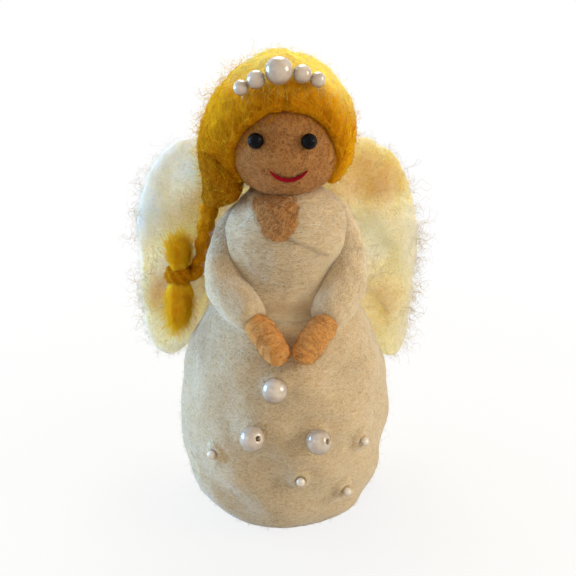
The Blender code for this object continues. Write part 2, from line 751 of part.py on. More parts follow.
def hand_tip(side):
    x = HANDS_MEET_X + SIDES[side] * (HAND_END_RADIUS + HANDS_APART / 2)
    height = WAIST_HEIGHT - HAND_TIP_BELOW_WAIST
    reach = skirt_radius(height) + HAND_END_RADIUS + GAP
    return Vector((x, -math.sqrt(reach * reach - x * x), height))


def make_arm(side, joint, elbow_joint, skirt_room):
    bore = WIRE_RADIUS + BORE_CLEARANCE
    top, bend, cuff, tip = shoulder(side), elbow(side), wrist(side), hand_tip(side)
    upper = limb(f"{side}_upper_sleeve", top, bend, SHOULDER_BALL, SLEEVE_RADIUS, "dress_wool", SLEEVE_SWELL, bore)
    socket_radius = SLEEVE_RADIUS / math.cos(math.radians(ELBOW_BEND / 2)) + GAP
    boolean(upper, ball(f"{side}_elbow_room", (socket_radius,) * 3, bend))
    inward = Vector((-SIDES[side], 0.0, 0.0))
    wire_end = top - inward * (WIRE_PAST_BALL + GAP)
    boolean(upper, rod(f"{side}_shoulder_bore", wire_end, top + inward * (SHOULDER_BALL + CUTTER_OVERRUN), bore, None))
    side_face = CHEST_RADIUS + SHOULDER_SIDE_GAP
    boolean(upper, box_cutter(f"{side}_side_room", (-side_face, -CHEST_RADIUS * 2, 0.0),
                              (side_face, CHEST_RADIUS * 2, COLLAR_HEIGHT)))
    attach(upper, joint)

    fore = limb(f"{side}_forearm_sleeve", bend, cuff, SLEEVE_RADIUS, CUFF_RADIUS, "dress_wool", SLEEVE_SWELL, bore)
    boolean(fore, skirt_room)
    attach(fore, elbow_joint)
    hand = limb(f"{side}_hand", cuff, tip, HAND_RADIUS, HAND_END_RADIUS, "skin_wool", HAND_SWELL, bore, WIRE_IN_HAND)
    boolean(hand, limb(f"{side}_cuff_room", bend, cuff, SLEEVE_RADIUS + GAP, CUFF_RADIUS + GAP, None, SLEEVE_SWELL))
    boolean(hand, skirt_room)
    attach(hand, elbow_joint)

    down = (bend - top).normalized()
    upper_wire = rod(f"{side}_upper_arm_wire", top + down * (WIRE_RADIUS + bore), bend - down * socket_radius,
                     WIRE_RADIUS, "wire")
    attach(upper_wire, joint)
    forearm_wire = rod(f"{side}_forearm_wire", bend - (cuff - bend).normalized() * WIRE_PAST_ELBOW, cuff,
                       WIRE_RADIUS, "wire")
    attach(forearm_wire, elbow_joint)


def rod(name, start, end, radius, finish, sides=12):
    """A straight round rod."""
    mesh = bpy.data.meshes.new(name)
    shape = bmesh.new()
    length = (end - start).length
    bmesh.ops.create_cone(shape, cap_ends=True, segments=sides, radius1=radius, radius2=radius, depth=length)
    bmesh.ops.translate(shape, vec=(0.0, 0.0, length / 2), verts=shape.verts)
    shape.to_mesh(mesh)
    shape.free()
    return aim(add(name, mesh, finish), start, end - start)


# Wings

def make_wing(side, joint, *rooms):
    """A padded leaf: a sphere stretched between the tip and the top, with its lower part swept outwards and
    puffs of loose wool on it."""
    mesh = bpy.data.meshes.new(f"{side}_wing")
    shape = bmesh.new()
    segments, rings = WING_SEGMENTS
    bmesh.ops.create_uvsphere(shape, u_segments=segments, v_segments=rings, radius=1.0)
    middle = WAIST_HEIGHT + WING_WIDEST_ABOVE_WAIST
    rise = COLLAR_HEIGHT + WING_TOP_ABOVE_COLLAR - middle
    drop = middle - WAIST_HEIGHT + WING_TIP_BELOW_WAIST
    width = min(WING_HALF_WIDTH, (WING_REACH[side] - WING_ROOT_X) / 2)
    centre = WING_REACH[side] - width
    root_back = CHEST_RADIUS + 2 * GAP
    for vert in shape.verts:
        across, through, up = vert.co
        height = middle + (rise if up > 0 else drop) * up
        puff = WING_PUFF * waves(WING_WAVES, across + WING_WAVE_SHIFT[side], up)
        low = max(0.0, -up - WING_SWEEP_START) / (1 - WING_SWEEP_START)
        narrow = 1 - WING_NARROWING * low
        out = centre + WING_TIP_SWEEP * low ** WING_SWEEP_POWER + width * narrow * across
        back = root_back + WING_SWEEP_BACK * (out - WING_ROOT_X) + WING_DROP_BACK * max(0.0, WAIST_HEIGHT - height)
        rim = WING_RIM_PUFF * puff
        vert.co = (
            SIDES[side] * (out + rim * across), back + (WING_THICKNESS / 2 + puff) * through, height + rim * up,
        )
    bmesh.ops.recalc_face_normals(shape, faces=shape.faces)
    shape.to_mesh(mesh)
    shape.free()
    wing = add(f"{side}_wing", mesh, "wing_wool")
    for room in rooms:
        boolean(wing, room)
    attach(wing, joint)


def wing_root(side):
    return Vector((SIDES[side] * WING_ROOT_X, CHEST_RADIUS + 2 * GAP, (WAIST_HEIGHT + SHOULDER_HEIGHT) / 2))


# Pearls on the skirt

def make_skirt_pearls():
    """Each pearl lies on the skirt, and a stitch goes through its bore and down to the wool on both sides."""
    for i, (azimuth, share, size, turn, tilt) in enumerate(SKIRT_PEARLS, start=1):
        height = share * WAIST_HEIGHT
        step = THREAD_RADIUS
        slope = (skirt_radius(height + step) - skirt_radius(height - step)) / (2 * step)
        out = around(azimuth, 1.0, -slope).normalized()
        seat = around(azimuth, skirt_radius(height), height)
        centre = seat + out * (size / 2 + GAP)
        side = Matrix.Rotation(math.radians(turn), 3, out) @ around(azimuth + 90, 1.0, 0.0)
        lean = math.radians(tilt)
        kind = "skirt_pearl" if size == PEARL_LARGE else "seed_pearl"
        detail = LARGE_BEAD if size == PEARL_LARGE else TINY_BEAD
        pearl(f"{kind}_{i}", size, centre, side * math.cos(lean) + out * math.sin(lean), "pearl", detail)
        reach = size / 2 + 2 * THREAD_RADIUS
        tube(f"pearl_stitch_{i}", [
            centre + (side * math.cos(angle) + out * math.sin(angle)) * reach for angle in stitch_angles(size, lean)
        ], THREAD_RADIUS, "thread", 0)


def stitch_angles(size, lean):
    """Round a pearl from one end of its stitch to the bore, and from the bore's other end to the stitch's."""
    low = math.asin(STITCH_DEPTH * size / 2 / (size / 2 + 2 * THREAD_RADIUS))
    angles = []
    for start, end in ((math.pi + low, math.pi + lean), (lean, -low)):
        count = math.ceil(abs(end - start) / math.radians(STITCH_BEND))
        angles += [start + (end - start) * i / count for i in range(count + 1)]
    return angles


def main():
    skirt, bodice, core = make_body()
    neck_joint = pivot("head_pivot", (0.0, 0.0, COLLAR_HEIGHT))
    make_head(neck_joint)
    make_braid(pivot("braid_pivot", lock_end(), neck_joint))
    skirt_room, bodice_room = make_rooms()
    wire_ends = []
    for side in SIDES:
        joint = pivot(f"{side}_shoulder_pivot", shoulder(side))
        elbow_joint = pivot(f"{side}_elbow_pivot", elbow(side), joint)
        make_arm(side, joint, elbow_joint, skirt_room)
        boolean(bodice, ball(f"{side}_shoulder_room", (SHOULDER_BALL + GAP,) * 3, shoulder(side)))
        wire_ends.append(shoulder(side) + Vector((SIDES[side] * WIRE_PAST_BALL, 0.0, 0.0)))
        make_wing(side, pivot(f"{side}_wing_pivot", wing_root(side)), skirt_room, bodice_room)
    rod("shoulder_wire", *wire_ends, WIRE_RADIUS, "wire")
    overrun = Vector((CUTTER_OVERRUN, 0.0, 0.0))
    wire_bore = rod("shoulder_wire_bore", wire_ends[0] - overrun, wire_ends[1] + overrun,
                    WIRE_RADIUS + BORE_CLEARANCE, None)
    boolean(core, wire_bore)
    boolean(bodice, wire_bore)
    make_skirt_pearls()
    bpy.context.view_layer.update()


clear_scene()
DOLL = collection("felted_angel")
CUTTERS = collection("cutters")
main()
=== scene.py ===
"""Looks of the felted wool angel doll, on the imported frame.

Shapes are worked out in millimetres and go into the meshes in metres. The doll faces -Y and its right hand
is at -X. Azimuths run from the front towards +X, in degrees where a piece is placed.
No cloth simulation is used: felted wool is a solid mat of fibres, so its soft forms are surfaces with
worked-out lumps, and its nap is real fibres on them.
"""

import bpy
import numpy as np
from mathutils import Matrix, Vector


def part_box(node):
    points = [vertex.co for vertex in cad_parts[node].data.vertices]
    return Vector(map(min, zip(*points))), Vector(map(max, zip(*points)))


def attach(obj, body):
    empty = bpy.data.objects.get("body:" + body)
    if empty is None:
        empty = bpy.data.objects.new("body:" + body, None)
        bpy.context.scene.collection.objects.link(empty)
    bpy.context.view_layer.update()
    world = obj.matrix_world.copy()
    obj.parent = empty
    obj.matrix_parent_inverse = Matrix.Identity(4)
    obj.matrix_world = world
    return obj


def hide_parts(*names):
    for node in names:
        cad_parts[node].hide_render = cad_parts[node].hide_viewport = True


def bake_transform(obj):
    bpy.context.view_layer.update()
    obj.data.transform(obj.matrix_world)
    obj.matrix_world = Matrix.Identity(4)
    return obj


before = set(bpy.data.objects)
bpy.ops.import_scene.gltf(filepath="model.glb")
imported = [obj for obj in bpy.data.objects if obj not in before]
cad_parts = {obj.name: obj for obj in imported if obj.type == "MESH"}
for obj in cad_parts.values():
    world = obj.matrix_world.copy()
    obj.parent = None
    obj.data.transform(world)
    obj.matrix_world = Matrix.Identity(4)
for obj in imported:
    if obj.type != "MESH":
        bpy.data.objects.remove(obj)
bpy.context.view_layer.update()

MM = 0.001
TURN = 2 * np.pi

# Fineness of lumps, paths and fibres, with lengths in millimetres
LUMP_WAVES = 14
LUMP_OCTAVES = 2
LUMP_HEIGHT = 0.6
PATH_STEPS = 400
ALONG = np.pi / 2
FIBRE_WIDTH = 0.1
FIBRE_SINK = 0.05
STRAY_SINK = 0.08
TONE_SEED = 1
NUDGE = 1e-7
FLOOR_GAP = 0.1

# Sizes that repeat the part's source, in millimetres and degrees
WAIST_Z = 59.0
WAIST_RADIUS = 12.6
WIDEST_Z = 18.0
SKIRT_SPREAD = 15.2
FOOT_RADIUS = 17.0
FOOT_SPREAD = 10.8
CHEST_LOW_Z = 66.0
CHEST_Z = 74.0
CHEST_RADIUS = 11.7
WAIST_FLARE = 0.9
COLLAR_Z = 86.2
COLLAR_RISE = 12.2
COLLAR_RADIUS = 8.4
COLLAR_SPREAD = 3.3
HEAD_MIDDLE = np.array([0.0, 0.0, 99.0])
HEAD_HALF = np.array([14.4, 14.4, 13.8])
CHEEKS = 0.05
HAIR_MIDDLE = np.array([-1.3, 1.8, 99.8])
HAIR_HALF = np.array([18.7, 17.9, 18.7])
HAIR_END_Z = 87.4
FACE_MIDDLE = np.array([0.0, -14.4, 93.0])
FACE_HALF = np.array([12.2, 12.0, 15.4])
LOCK_END = np.array([-18.61, 4.436, 83.159])
KNOT = LOCK_END + np.array([-8.8, 2.4, -22.2])
SIDES = {"right": -1.0, "left": 1.0}
WRISTS = {"right": (-7.08, -17.39, 58.8), "left": (9.88, -17.39, 58.8)}
HAND_TIPS = {"right": (-1.75, -23.40, 53.4), "left": (4.55, -23.02, 53.4)}
# Name, azimuth, height, size, and the bore's turn and tilt of each skirt pearl
SKIRT_PEARLS = (
    ("skirt_pearl_1", -5.0, 44.84, 6.2, -35.0, 0.0),
    ("skirt_pearl_2", -14.9, 33.335, 6.2, 29.0, 39.0),
    ("skirt_pearl_3", 15.2, 32.568, 6.2, 24.0, 50.0),
    ("seed_pearl_4", -38.4, 25.016, 2.6, 0.0, 0.0),
    ("seed_pearl_5", 7.4, 21.417, 2.6, 0.0, 0.0),
    ("seed_pearl_6", 32.0, 15.576, 2.6, 0.0, 0.0),
    ("seed_pearl_7", 42.8, 27.73, 2.6, 0.0, 0.0),
)
# Height of the skirt's waves, and each wave's turns across, turns up and phase
SKIRT_LUMP = 0.6
SKIRT_WAVES = ((4, 1.5, 20.0), (7, -2.0, 130.0), (9, 2.5, 250.0), (6, 3.5, 75.0))
# Azimuth and its spread, height and its spread, and rise of each swell
SKIRT_SWELLS = ((78.0, 34.0, 13.0, 9.0, -1.9), (0.0, 34.0, 4.0, 5.0, 1.1))
# Middles of the wings, and the height and the rows of their puffs
WING_MIDDLES = {"right": 22.2, "left": 19.2}
WING_PUFF = 0.8
WING_RIM_PUFF = 0.25
WING_WAVES = ((0.5, 1.3, 40.0), (1.2, -0.9, 160.0), (0.9, 2.0, 285.0), (1.6, 1.1, 80.0))
WING_WAVE_SHIFT = {"right": 0.0, "left": 0.4}
# Sizes of the tiara's pearls, and azimuths of the eyes
TIARA_PEARLS = {"tiara_pearl_1": 3.5, "tiara_pearl_2": 4.2, "tiara_pearl_3": 6.2, "tiara_pearl_4": 4.2,
                "tiara_pearl_5": 3.5}
EYES = {"right": -26.0, "left": 21.0}
EYE_ELEVATION = 10.0
EYE_SIZE = 3.6

# More sizes of the shapes, in millimetres and degrees
SEED_LIMIT = 3.0
SEED_SIZE = 2.3
SKIRT_FOLD = ((0.0, 3.4), (16.2, 3.4), (16.7, 2.6), (16.75, 1.0))
SKIRT_TOP = ((11.6, 59.5), (9.0, 59.7), (0.0, 59.7))
HEM_Z = 0.4
BODICE_FOOT = ((0.0, 57.4), (9.0, 57.4))
BODICE_LOW_Z = 57.6
BODICE_TOP = ((7.0, 86.9), (5.0, 86.6), (0.0, 86.4))
BELLY_Z = 66.5
PATCH_X, PATCH_Z = -1.9, 82.0
PATCH_HALF_WIDTH, PATCH_DROP, PATCH_RISE = 6.0, 5.6, 4.9
MOUTH_AZIMUTH, MOUTH_REACH = 3.5, 17.5
MOUTH_ELEVATION, MOUTH_RISE, MOUTH_POWER = -27.4, 10.0, 2.4
FACE_ROOM = (2.2, 3.0, 1.7)
CHEEK_ROOM = (1.6, 2.0, 0.0)
HAIR_POLE = (0.0, 0.80, 0.62)
HAIR_RADIUS = 18.3
HAIR_COUNT, HAIR_ROWS, LIP_ROWS = 220, 108, 10
# Depth of each dent, cosines of the angles where it starts and is full, and its direction
HAIR_DENTS = ((1.5, 0.70, 0.97, (-0.72, -0.25, 0.66)), (0.7, 0.75, 0.97, (0.74, -0.25, 0.62)),
              (0.7, 0.80, 0.98, (0.93, -0.25, -0.25)))
# Direction towards which the hair gets its painted highlight
HAIR_GLINT = (0.62, 0.1, 0.75)
LOCK_KNOTS = ((-14.2, -1.0, 101.0), (-14.5, -2.2, 95.4), (-14.5, -2.3, 90.6), (-16.3, 0.2, 85.4),
              (-18.4, 3.9, 82.2), (-18.6, 4.9, 80.6))
LOCK_RADII = (2.6, 4.4, 5.0, 5.1, 4.4, 3.4, 2.5, 1.9)
WING_Z, WING_RISE, WING_DROP = 63.2, 31.4, 36.2
WING_HALF_WIDTH, WING_HALF_DEPTH = 16.8, 2.4
WING_BACK, WING_LEAN, WING_DROP_LEAN = 12.3, 0.24, 0.22
WING_ROOM_X, WING_ROOM_Z, WING_ROOM = -20.0, 70.0, 1.3


# Arithmetic on whole arrays

def unit(vectors):
    """Each vector divided by its length."""
    return vectors / np.maximum(np.linalg.norm(vectors, axis=-1, keepdims=True), 1e-9)


def ease(low, high, values):
    """0 below low, 1 above high, and 3t^2 - 2t^3 between them."""
    share = np.clip((values - low) / (high - low), 0.0, 1.0)
    return share * share * (3 - 2 * share)


def lumps(points, size, seed):
    """Soft lumps of about -1 to 1: cosine waves of seeded directions and phases, summed; each octave has
    half the wave length and half the height of the one before."""
    rng = np.random.default_rng(seed)
    total = np.zeros(points.shape[:-1])
    for octave in range(LUMP_OCTAVES):
        ways = unit(rng.normal(size=(LUMP_WAVES, 3))) * rng.uniform(0.7, 1.4, (LUMP_WAVES, 1))
        ways = ways * TURN / size * 2 ** octave
        phases = rng.uniform(0, TURN, LUMP_WAVES)
        total += np.cos(points @ ways.T + phases).sum(axis=-1) / LUMP_WAVES ** 0.5 / 2 ** octave
    return LUMP_HEIGHT * total


def waves(rows, across, up):
    """The part's own soft lumps: cosine waves over a surface, summed and divided by the root of their
    number. A row gives a wave's turns across, its turns up and its phase in degrees."""
    total = sum(np.cos(TURN * (a * across + b * up) + np.radians(phase)) for a, b, phase in rows)
    return total / len(rows) ** 0.5


def around(azimuth, radius, height):
    """Points on rings about Z: azimuth in degrees from the front towards +X."""
    angle = np.radians(azimuth)
    return np.stack(np.broadcast_arrays(radius * np.sin(angle), -radius * np.cos(angle), height), axis=-1)


def azimuth_of(points):
    """The azimuth of points in degrees, from the front towards +X."""
    return np.degrees(np.arctan2(points[..., 0], -points[..., 1]))


def widened(points, grow):
    """Points moved out from Z by a factor for each."""
    return points * np.stack([grow, grow, np.ones_like(grow)], axis=-1)


def between(places, at, line):
    """A line's points at new places, read between its own."""
    return np.stack([np.interp(at, places, line[:, axis]) for axis in range(line.shape[1])], axis=1)


def resampled(line, count):
    """The line's points moved to even steps of its own length."""
    line = np.asarray(line, float)
    lengths = np.concatenate([[0.0], np.cumsum(np.linalg.norm(np.diff(line, axis=0), axis=1))])
    return between(lengths, np.linspace(0.0, lengths[-1], count), line)


def smooth_path(knots, count):
    """A Catmull-Rom curve through the knots, at even steps: each span is the cubic whose end slopes are half
    the chord between the neighbouring knots."""
    knots = np.asarray(knots, float)
    padded = np.vstack([2 * knots[0] - knots[1], knots, 2 * knots[-1] - knots[-2]])
    spans = np.linspace(0.0, len(knots) - 1 - 1e-9, 40 * len(knots))
    start = spans.astype(int)
    t = (spans - start)[:, None]
    a, b, c, d = (padded[start + k] for k in range(4))
    square, cube = 2 * a - 5 * b + 4 * c - d, 3 * b - a - 3 * c + d
    line = 0.5 * (2 * b + (c - a) * t + square * t ** 2 + cube * t ** 3)
    return resampled(line, count)


# Closed surfaces on a grid

class Form:
    """A closed surface on a grid: each row is a ring of points, and the first and the last row are drawn
    together to one point. Its normals are the cross product of the two grid directions, turned outwards."""

    def __init__(self, points):
        points = np.array(points, float)
        points[[0, -1]] = points[[0, -1]].mean(axis=1, keepdims=True)
        across = (np.roll(points, -1, axis=1) - np.roll(points, 1, axis=1)) / 2
        along = np.gradient(points, axis=0)
        normals = np.cross(across, along)
        self.points = points
        self.outward = 1.0 if np.sum((points - points.mean(axis=(0, 1))) * normals) > 0 else -1.0
        self.area = np.linalg.norm(normals, axis=2)
        normals[0] = normals[1].mean(axis=0)
        normals[-1] = normals[-2].mean(axis=0)
        self.normals = unit(normals) * self.outward
        self.across = np.maximum(np.linalg.norm(across, axis=2), 0.05)
        self.along = np.maximum(np.linalg.norm(along, axis=2), 0.05)

    def raised(self, amount):
        """The surface moved along its normals by an amount for each point."""
        return Form(self.points + self.normals * amount[..., None])

    def read(self, grid, row, ring):
        """A grid's values between its points, by bilinear weights; rings run on round the piece."""
        count = grid.shape[1]
        low = np.clip(row.astype(int), 0, grid.shape[0] - 2)
        left = np.floor(ring).astype(int)
        up, right = row - low, ring - left
        if grid.ndim == 3:
            up, right = up[:, None], right[:, None]
        left, next_left = left % count, (left + 1) % count
        lower = grid[low, left] * (1 - right) + grid[low, next_left] * right
        upper = grid[low + 1, left] * (1 - right) + grid[low + 1, next_left] * right
        return lower * (1 - up) + upper * up


def turned(profile, count, rows=None):
    """A profile of (radius, height) carried round Z, with its seam at the back."""
    profile = np.asarray(profile, float)
    if rows:
        profile = resampled(profile, rows)
    azimuth = 180.0 + 360.0 * np.arange(count) / count
    return Form(around(azimuth[None, :], profile[:, :1], profile[:, 1:]))


def limb(knots, radii, rows, count, plane, blunt, twist=None):
    """A ring carried along a smooth path. The radius is read between the given ones and closes at both ends
    as (1 - |2t-1|^blunt)^0.5, with rows closer together there. plane is square to the path's bend, and
    twist(angle, t) scales the ring's radius."""
    fine = smooth_path(knots, PATH_STEPS)
    places = np.linspace(0.0, 1.0, PATH_STEPS)
    t = (1 - np.cos(np.pi * np.arange(rows) / (rows - 1))) / 2
    path = between(places, t, fine)
    tangent = unit(between(places, t, unit(np.gradient(fine, axis=0))))
    side = unit(np.cross(tangent, np.asarray(plane, float)))
    up = np.cross(tangent, side)
    angle = np.pi + TURN * np.arange(count) / count
    radius = np.interp(t, np.linspace(0.0, 1.0, len(radii)), radii)
    radius = radius * np.sqrt(np.maximum(1 - np.abs(2 * t - 1) ** blunt, 0.0))
    ring = radius[:, None] * np.ones(count)
    if twist is not None:
        ring = ring * twist(angle[None, :], t[:, None])
    angle = angle[None, :, None]
    offset = np.cos(angle) * side[:, None, :] + np.sin(angle) * up[:, None, :]
    form = Form(path[:, None, :] + ring[..., None] * offset)
    form.path, form.reach = path, radius
    return form


def seam(points, form, wide):
    """How near points are to a limb's surface: 1 on it, falling off as exp(-(distance / wide)^2)."""
    away = np.linalg.norm(points[..., None, :] - form.path[::3], axis=-1) - form.reach[::3]
    return np.exp(-(away.min(axis=-1) / wide) ** 2)


def globe(middle, half, rows, count):
    """An ellipsoid in rings about Z, from below to above."""
    turn = np.pi * (np.arange(rows) / (rows - 1) - 0.5)
    profile = np.stack([np.cos(turn), np.sin(turn)], axis=1)
    return Form(np.asarray(middle) + turned(profile, count).points * np.asarray(half))


# Meshes

def put(name, corners, faces, finish):
    """A smooth mesh object at the origin, from corners in millimetres."""
    mesh = bpy.data.meshes.new(name)
    mesh.from_pydata((np.asarray(corners) * MM).tolist(), [], faces)
    mesh.polygons.foreach_set("use_smooth", np.ones(len(mesh.polygons), bool))
    mesh.materials.append(finish)
    obj = bpy.data.objects.new(name, mesh)
    bpy.context.scene.collection.objects.link(obj)
    return obj


def mark(obj, name, values):
    """A value for each corner of the mesh, which its material reads."""
    layer = obj.data.attributes.new(name, "FLOAT", "POINT")
    layer.data.foreach_set("value", np.asarray(values, np.float32))


def skin(name, form, finish, shade=None):
    """The mesh of a form: quads between its rings and a fan at each end. UV is the way round and the way
    along, in metres at the piece's middle size; shade is a value for each grid point."""
    rows, count = form.points.shape[:2]
    corners = np.vstack([form.points[1:-1].reshape(-1, 3), form.points[0, :1], form.points[-1, :1]])
    width = np.median(form.across[1:-1].sum(axis=1)) / count * MM
    height = np.concatenate([[0.0], np.cumsum(form.along[1:].mean(axis=1))]) * MM
    row, ring = np.meshgrid(np.arange(rows - 3), np.arange(count), indexing="ij")
    after = (ring + 1) % count
    quads = np.stack([row * count + ring, row * count + after, (row + 1) * count + after,
                      (row + 1) * count + ring], axis=-1).reshape(-1, 4)
    around_uv = np.stack([ring, ring + 1, ring + 1, ring], axis=-1) * width
    along_uv = height[np.stack([row + 1, row + 1, row + 2, row + 2], axis=-1)]
    quad_uv = np.stack([around_uv, along_uv], axis=-1).reshape(-1, 4, 2)
    ring = np.arange(count)
    after = (ring + 1) % count
    top, foot = (rows - 3) * count, (rows - 2) * count
    fans = np.vstack([np.stack([np.full(count, foot), after, ring], axis=1),
                      np.stack([top + ring, top + after, np.full(count, foot + 1)], axis=1)])
    foot_uv = np.stack([np.stack([ring + 0.5, ring + 1, ring], axis=1) * width,
                        np.broadcast_to(height[[0, 1, 1]], (count, 3))], axis=-1)
    tip_uv = np.stack([np.stack([ring, ring + 1, ring + 0.5], axis=1) * width,
                       np.broadcast_to(height[[-2, -2, -1]], (count, 3))], axis=-1)
    if form.outward < 0:
        quads, fans = quads[:, ::-1], fans[:, ::-1]
        quad_uv, foot_uv, tip_uv = quad_uv[:, ::-1], foot_uv[:, ::-1], tip_uv[:, ::-1]
    obj = put(name, corners, quads.tolist() + fans.tolist(), finish)
    layer = obj.data.uv_layers.new(name="surface")
    uv = np.vstack([part.reshape(-1, 2) for part in (quad_uv, foot_uv, tip_uv)])
    layer.data.foreach_set("uv", uv.astype(np.float32).ravel())
    if shade is not None:
        mark(obj, "shade", np.concatenate([shade[1:-1].ravel(), shade[0, :1], shade[-1, :1]]))
    return obj


# Wool fibres

def starts(form, count, rng, density):
    """Places on a form, picked by area times density."""
    weight = form.area[:-1] if density is None else form.area[:-1] * density[:-1]
    cell = rng.choice(weight.size, count, p=weight.ravel() / weight.sum())
    return cell // weight.shape[1] + rng.random(count), cell % weight.shape[1] + rng.random(count)


def lying(form, cover, length, seed, spread, curl, lift, heading=0.0, density=None, steps=5, shade=None,
          radius=0.035):
    """Fibres felted onto a form, as many as cover that share of it. Each walks along the surface in even
    steps, its heading (an angle from the way round towards the way along) bends at its own rate, and its
    height arches up from both sunk ends."""
    rng = np.random.default_rng(seed)
    area = form.area.sum() if density is None else (form.area * density).sum()
    count = int(cover * area / (FIBRE_WIDTH * length))
    row, ring = starts(form, count, rng, density)
    tint = np.zeros(count) if shade is None else form.read(shade, row, ring)
    turn = heading + rng.normal(0.0, 1.0, count) * spread
    bend = rng.normal(0.0, curl, count)
    step = length * rng.uniform(0.5, 1.4, count) / (steps - 1)
    arch = lift * rng.uniform(0.3, 1.3, count)
    last = len(form.points) - 1.001
    paths = np.empty((count, steps, 3))
    for k in range(steps):
        rise = arch * np.sin(np.pi * k / (steps - 1)) - FIBRE_SINK
        normal = form.read(form.normals, row, ring)
        paths[:, k] = form.read(form.points, row, ring) + normal * rise[:, None]
        ring = ring + np.cos(turn) * step / form.read(form.across, row, ring)
        row = np.clip(row + np.sin(turn) * step / form.read(form.along, row, ring), 0.0, last)
        turn = turn + bend * step + rng.normal(0.0, 0.18, count)
    return paths, tint, radius


def straying(form, count, length, seed, rise, curl, density=None, steps=8, shade=None, lean=(0, 0, 0),
             radius=0.03):
    """Loose fibres. Each leaves the form along its normal by the share rise of its length and sideways by
    the rest, leans one way, turns in a curl that widens towards its free end, and stays off the floor."""
    rng = np.random.default_rng(seed)
    row, ring = starts(form, count, rng, density)
    tint = np.zeros(count) if shade is None else form.read(shade, row, ring)
    root = form.read(form.points, row, ring)
    normal = unit(form.read(form.normals, row, ring))
    side = unit(np.cross(normal, rng.normal(size=(count, 3))))
    other = np.cross(normal, side)
    reach = (length * rng.uniform(0.35, 1.35, count))[:, None]
    go = unit(normal * rise + side * (1 - rise) * rng.uniform(0.3, 1.6, (count, 1)) + np.asarray(lean))
    phase = rng.uniform(0, TURN, (count, 1))
    turns = rng.uniform(0.6, 2.2, (count, 1)) * np.where(rng.random((count, 1)) < 0.5, -1, 1)
    wide = curl * rng.uniform(0.3, 1.4, (count, 1))
    paths = np.empty((count, steps, 3))
    for k in range(steps):
        t = k / (steps - 1)
        angle = phase + TURN * turns * t
        wave = side * (np.cos(angle) - np.cos(phase)) + other * (np.sin(angle) - np.sin(phase))
        paths[:, k] = root - normal * STRAY_SINK + go * reach * t + wave * wide * t ** 0.7
    paths[..., 2] = np.maximum(paths[..., 2], FLOOR_GAP)
    return paths, tint, radius


def strands(name, groups, finish):
    """Fibres as closed three-sided tubes: a triangle square to the path at each of its points, thickest in
    the middle. Each fibre has its own tone from 0 to 1, and the shade of the place it grows from. A nudge
    gives a way to go where a fibre turns straight back."""
    rng = np.random.default_rng(TONE_SEED)
    corners, quads, ends, tones, shades = [], [], [], [], []
    first = 0
    for paths, tint, radius in groups:
        count, steps = paths.shape[:2]
        tangent = unit(np.gradient(paths, axis=1) + NUDGE)
        side = unit(np.cross(tangent, unit(rng.normal(size=(count, 1, 3)))))
        up = np.cross(tangent, side)
        t = np.linspace(-1.0, 1.0, steps)
        thick = radius * rng.uniform(0.7, 1.3, (count, 1, 1)) * (1 - 0.75 * np.abs(t) ** 3)[None, :, None]
        rings = [paths + thick * (np.cos(a) * side + np.sin(a) * up) for a in TURN * np.arange(3) / 3]
        corners.append(np.stack(rings, axis=2).reshape(-1, 3))
        base = first + np.arange(count)[:, None, None] * steps * 3
        row, ring = np.meshgrid(np.arange(steps - 1), np.arange(3), indexing="ij")
        low, after = row * 3 + ring, row * 3 + (ring + 1) % 3
        loop = np.stack([low, after, after + 3, low + 3], axis=-1).reshape(1, -1, 4)
        quads.append((base + loop).reshape(-1, 4))
        last = (steps - 1) * 3
        ends.append((base + np.array([[0, 2, 1], [last, last + 1, last + 2]])[None]).reshape(-1, 3))
        tones.append(np.repeat(rng.random(count), steps * 3))
        shades.append(np.repeat(tint, steps * 3))
        first += count * steps * 3
    faces = np.vstack(quads).tolist() + np.vstack(ends).tolist()
    obj = put(name, np.vstack(corners), faces, finish)
    mark(obj, "tone", np.concatenate(tones))
    mark(obj, "shade", np.concatenate(shades))
    return obj


# Materials

def rgb(red, green, blue):
    """An sRGB colour, 0 to 255, as linear light."""
    share = np.array([red, green, blue]) / 255
    light = np.where(share <= 0.04045, share / 12.92, ((share + 0.055) / 1.055) ** 2.4)
    return (*light.tolist(), 1.0)


def feed(tree, made, inputs):
    """Gives a node's sockets, by name or number, their values or the output sockets that feed them."""
    for key, value in inputs.items():
        if isinstance(value, bpy.types.NodeSocket):
            tree.links.new(value, made.inputs[key])
        else:
            made.inputs[key].default_value = value


def node(tree, kind, inputs=None, **settings):
    """A new node with its settings and its inputs."""
    made = tree.nodes.new("ShaderNode" + kind)
    for key, value in settings.items():
        setattr(made, key, value)
    feed(tree, made, inputs or {})
    return made


def blended(tree, share, first, second):
    """The colour between two, by a share."""
    return node(tree, "Mix", {0: share, 6: first, 7: second}, data_type="RGBA").outputs[2]


def sums(tree, operation, first, second=0.0):
    """Two values put together by an operation."""
    return node(tree, "Math", {0: first, 1: second}, operation=operation).outputs[0]


def scaled(tree, value, low, high, to_low=0.0, to_high=1.0):
    """A value moved from one range to another, kept inside it."""
    return node(tree, "MapRange", {0: value, 1: low, 2: high, 3: to_low, 4: to_high}).outputs[0]


def noise(tree, place, scale, detail, output="Fac"):
    """Soft noise over a place, finer with the scale and with more octaves by the detail."""
    return node(tree, "TexNoise", {"Vector": place, "Scale": scale, "Detail": detail}).outputs[output]


def bumped(tree, height, strength, distance):
    """The normal tilted by the slope of a height, at a strength and over a distance in metres."""
    return node(tree, "Bump", {"Strength": strength, "Distance": distance, "Height": height}).outputs[0]


def by_shade(tree, colour, edge, warm):
    """The colour, gone over to edge by the piece's shade above 0 and to warm by its shade below 0."""
    for other, full in ((edge, 1.0), (warm, -1.0)):
        if other is not None:
            shade = node(tree, "Attribute", attribute_name="shade").outputs["Fac"]
            colour = blended(tree, scaled(tree, shade, 0.0, full), colour, other)
    return colour


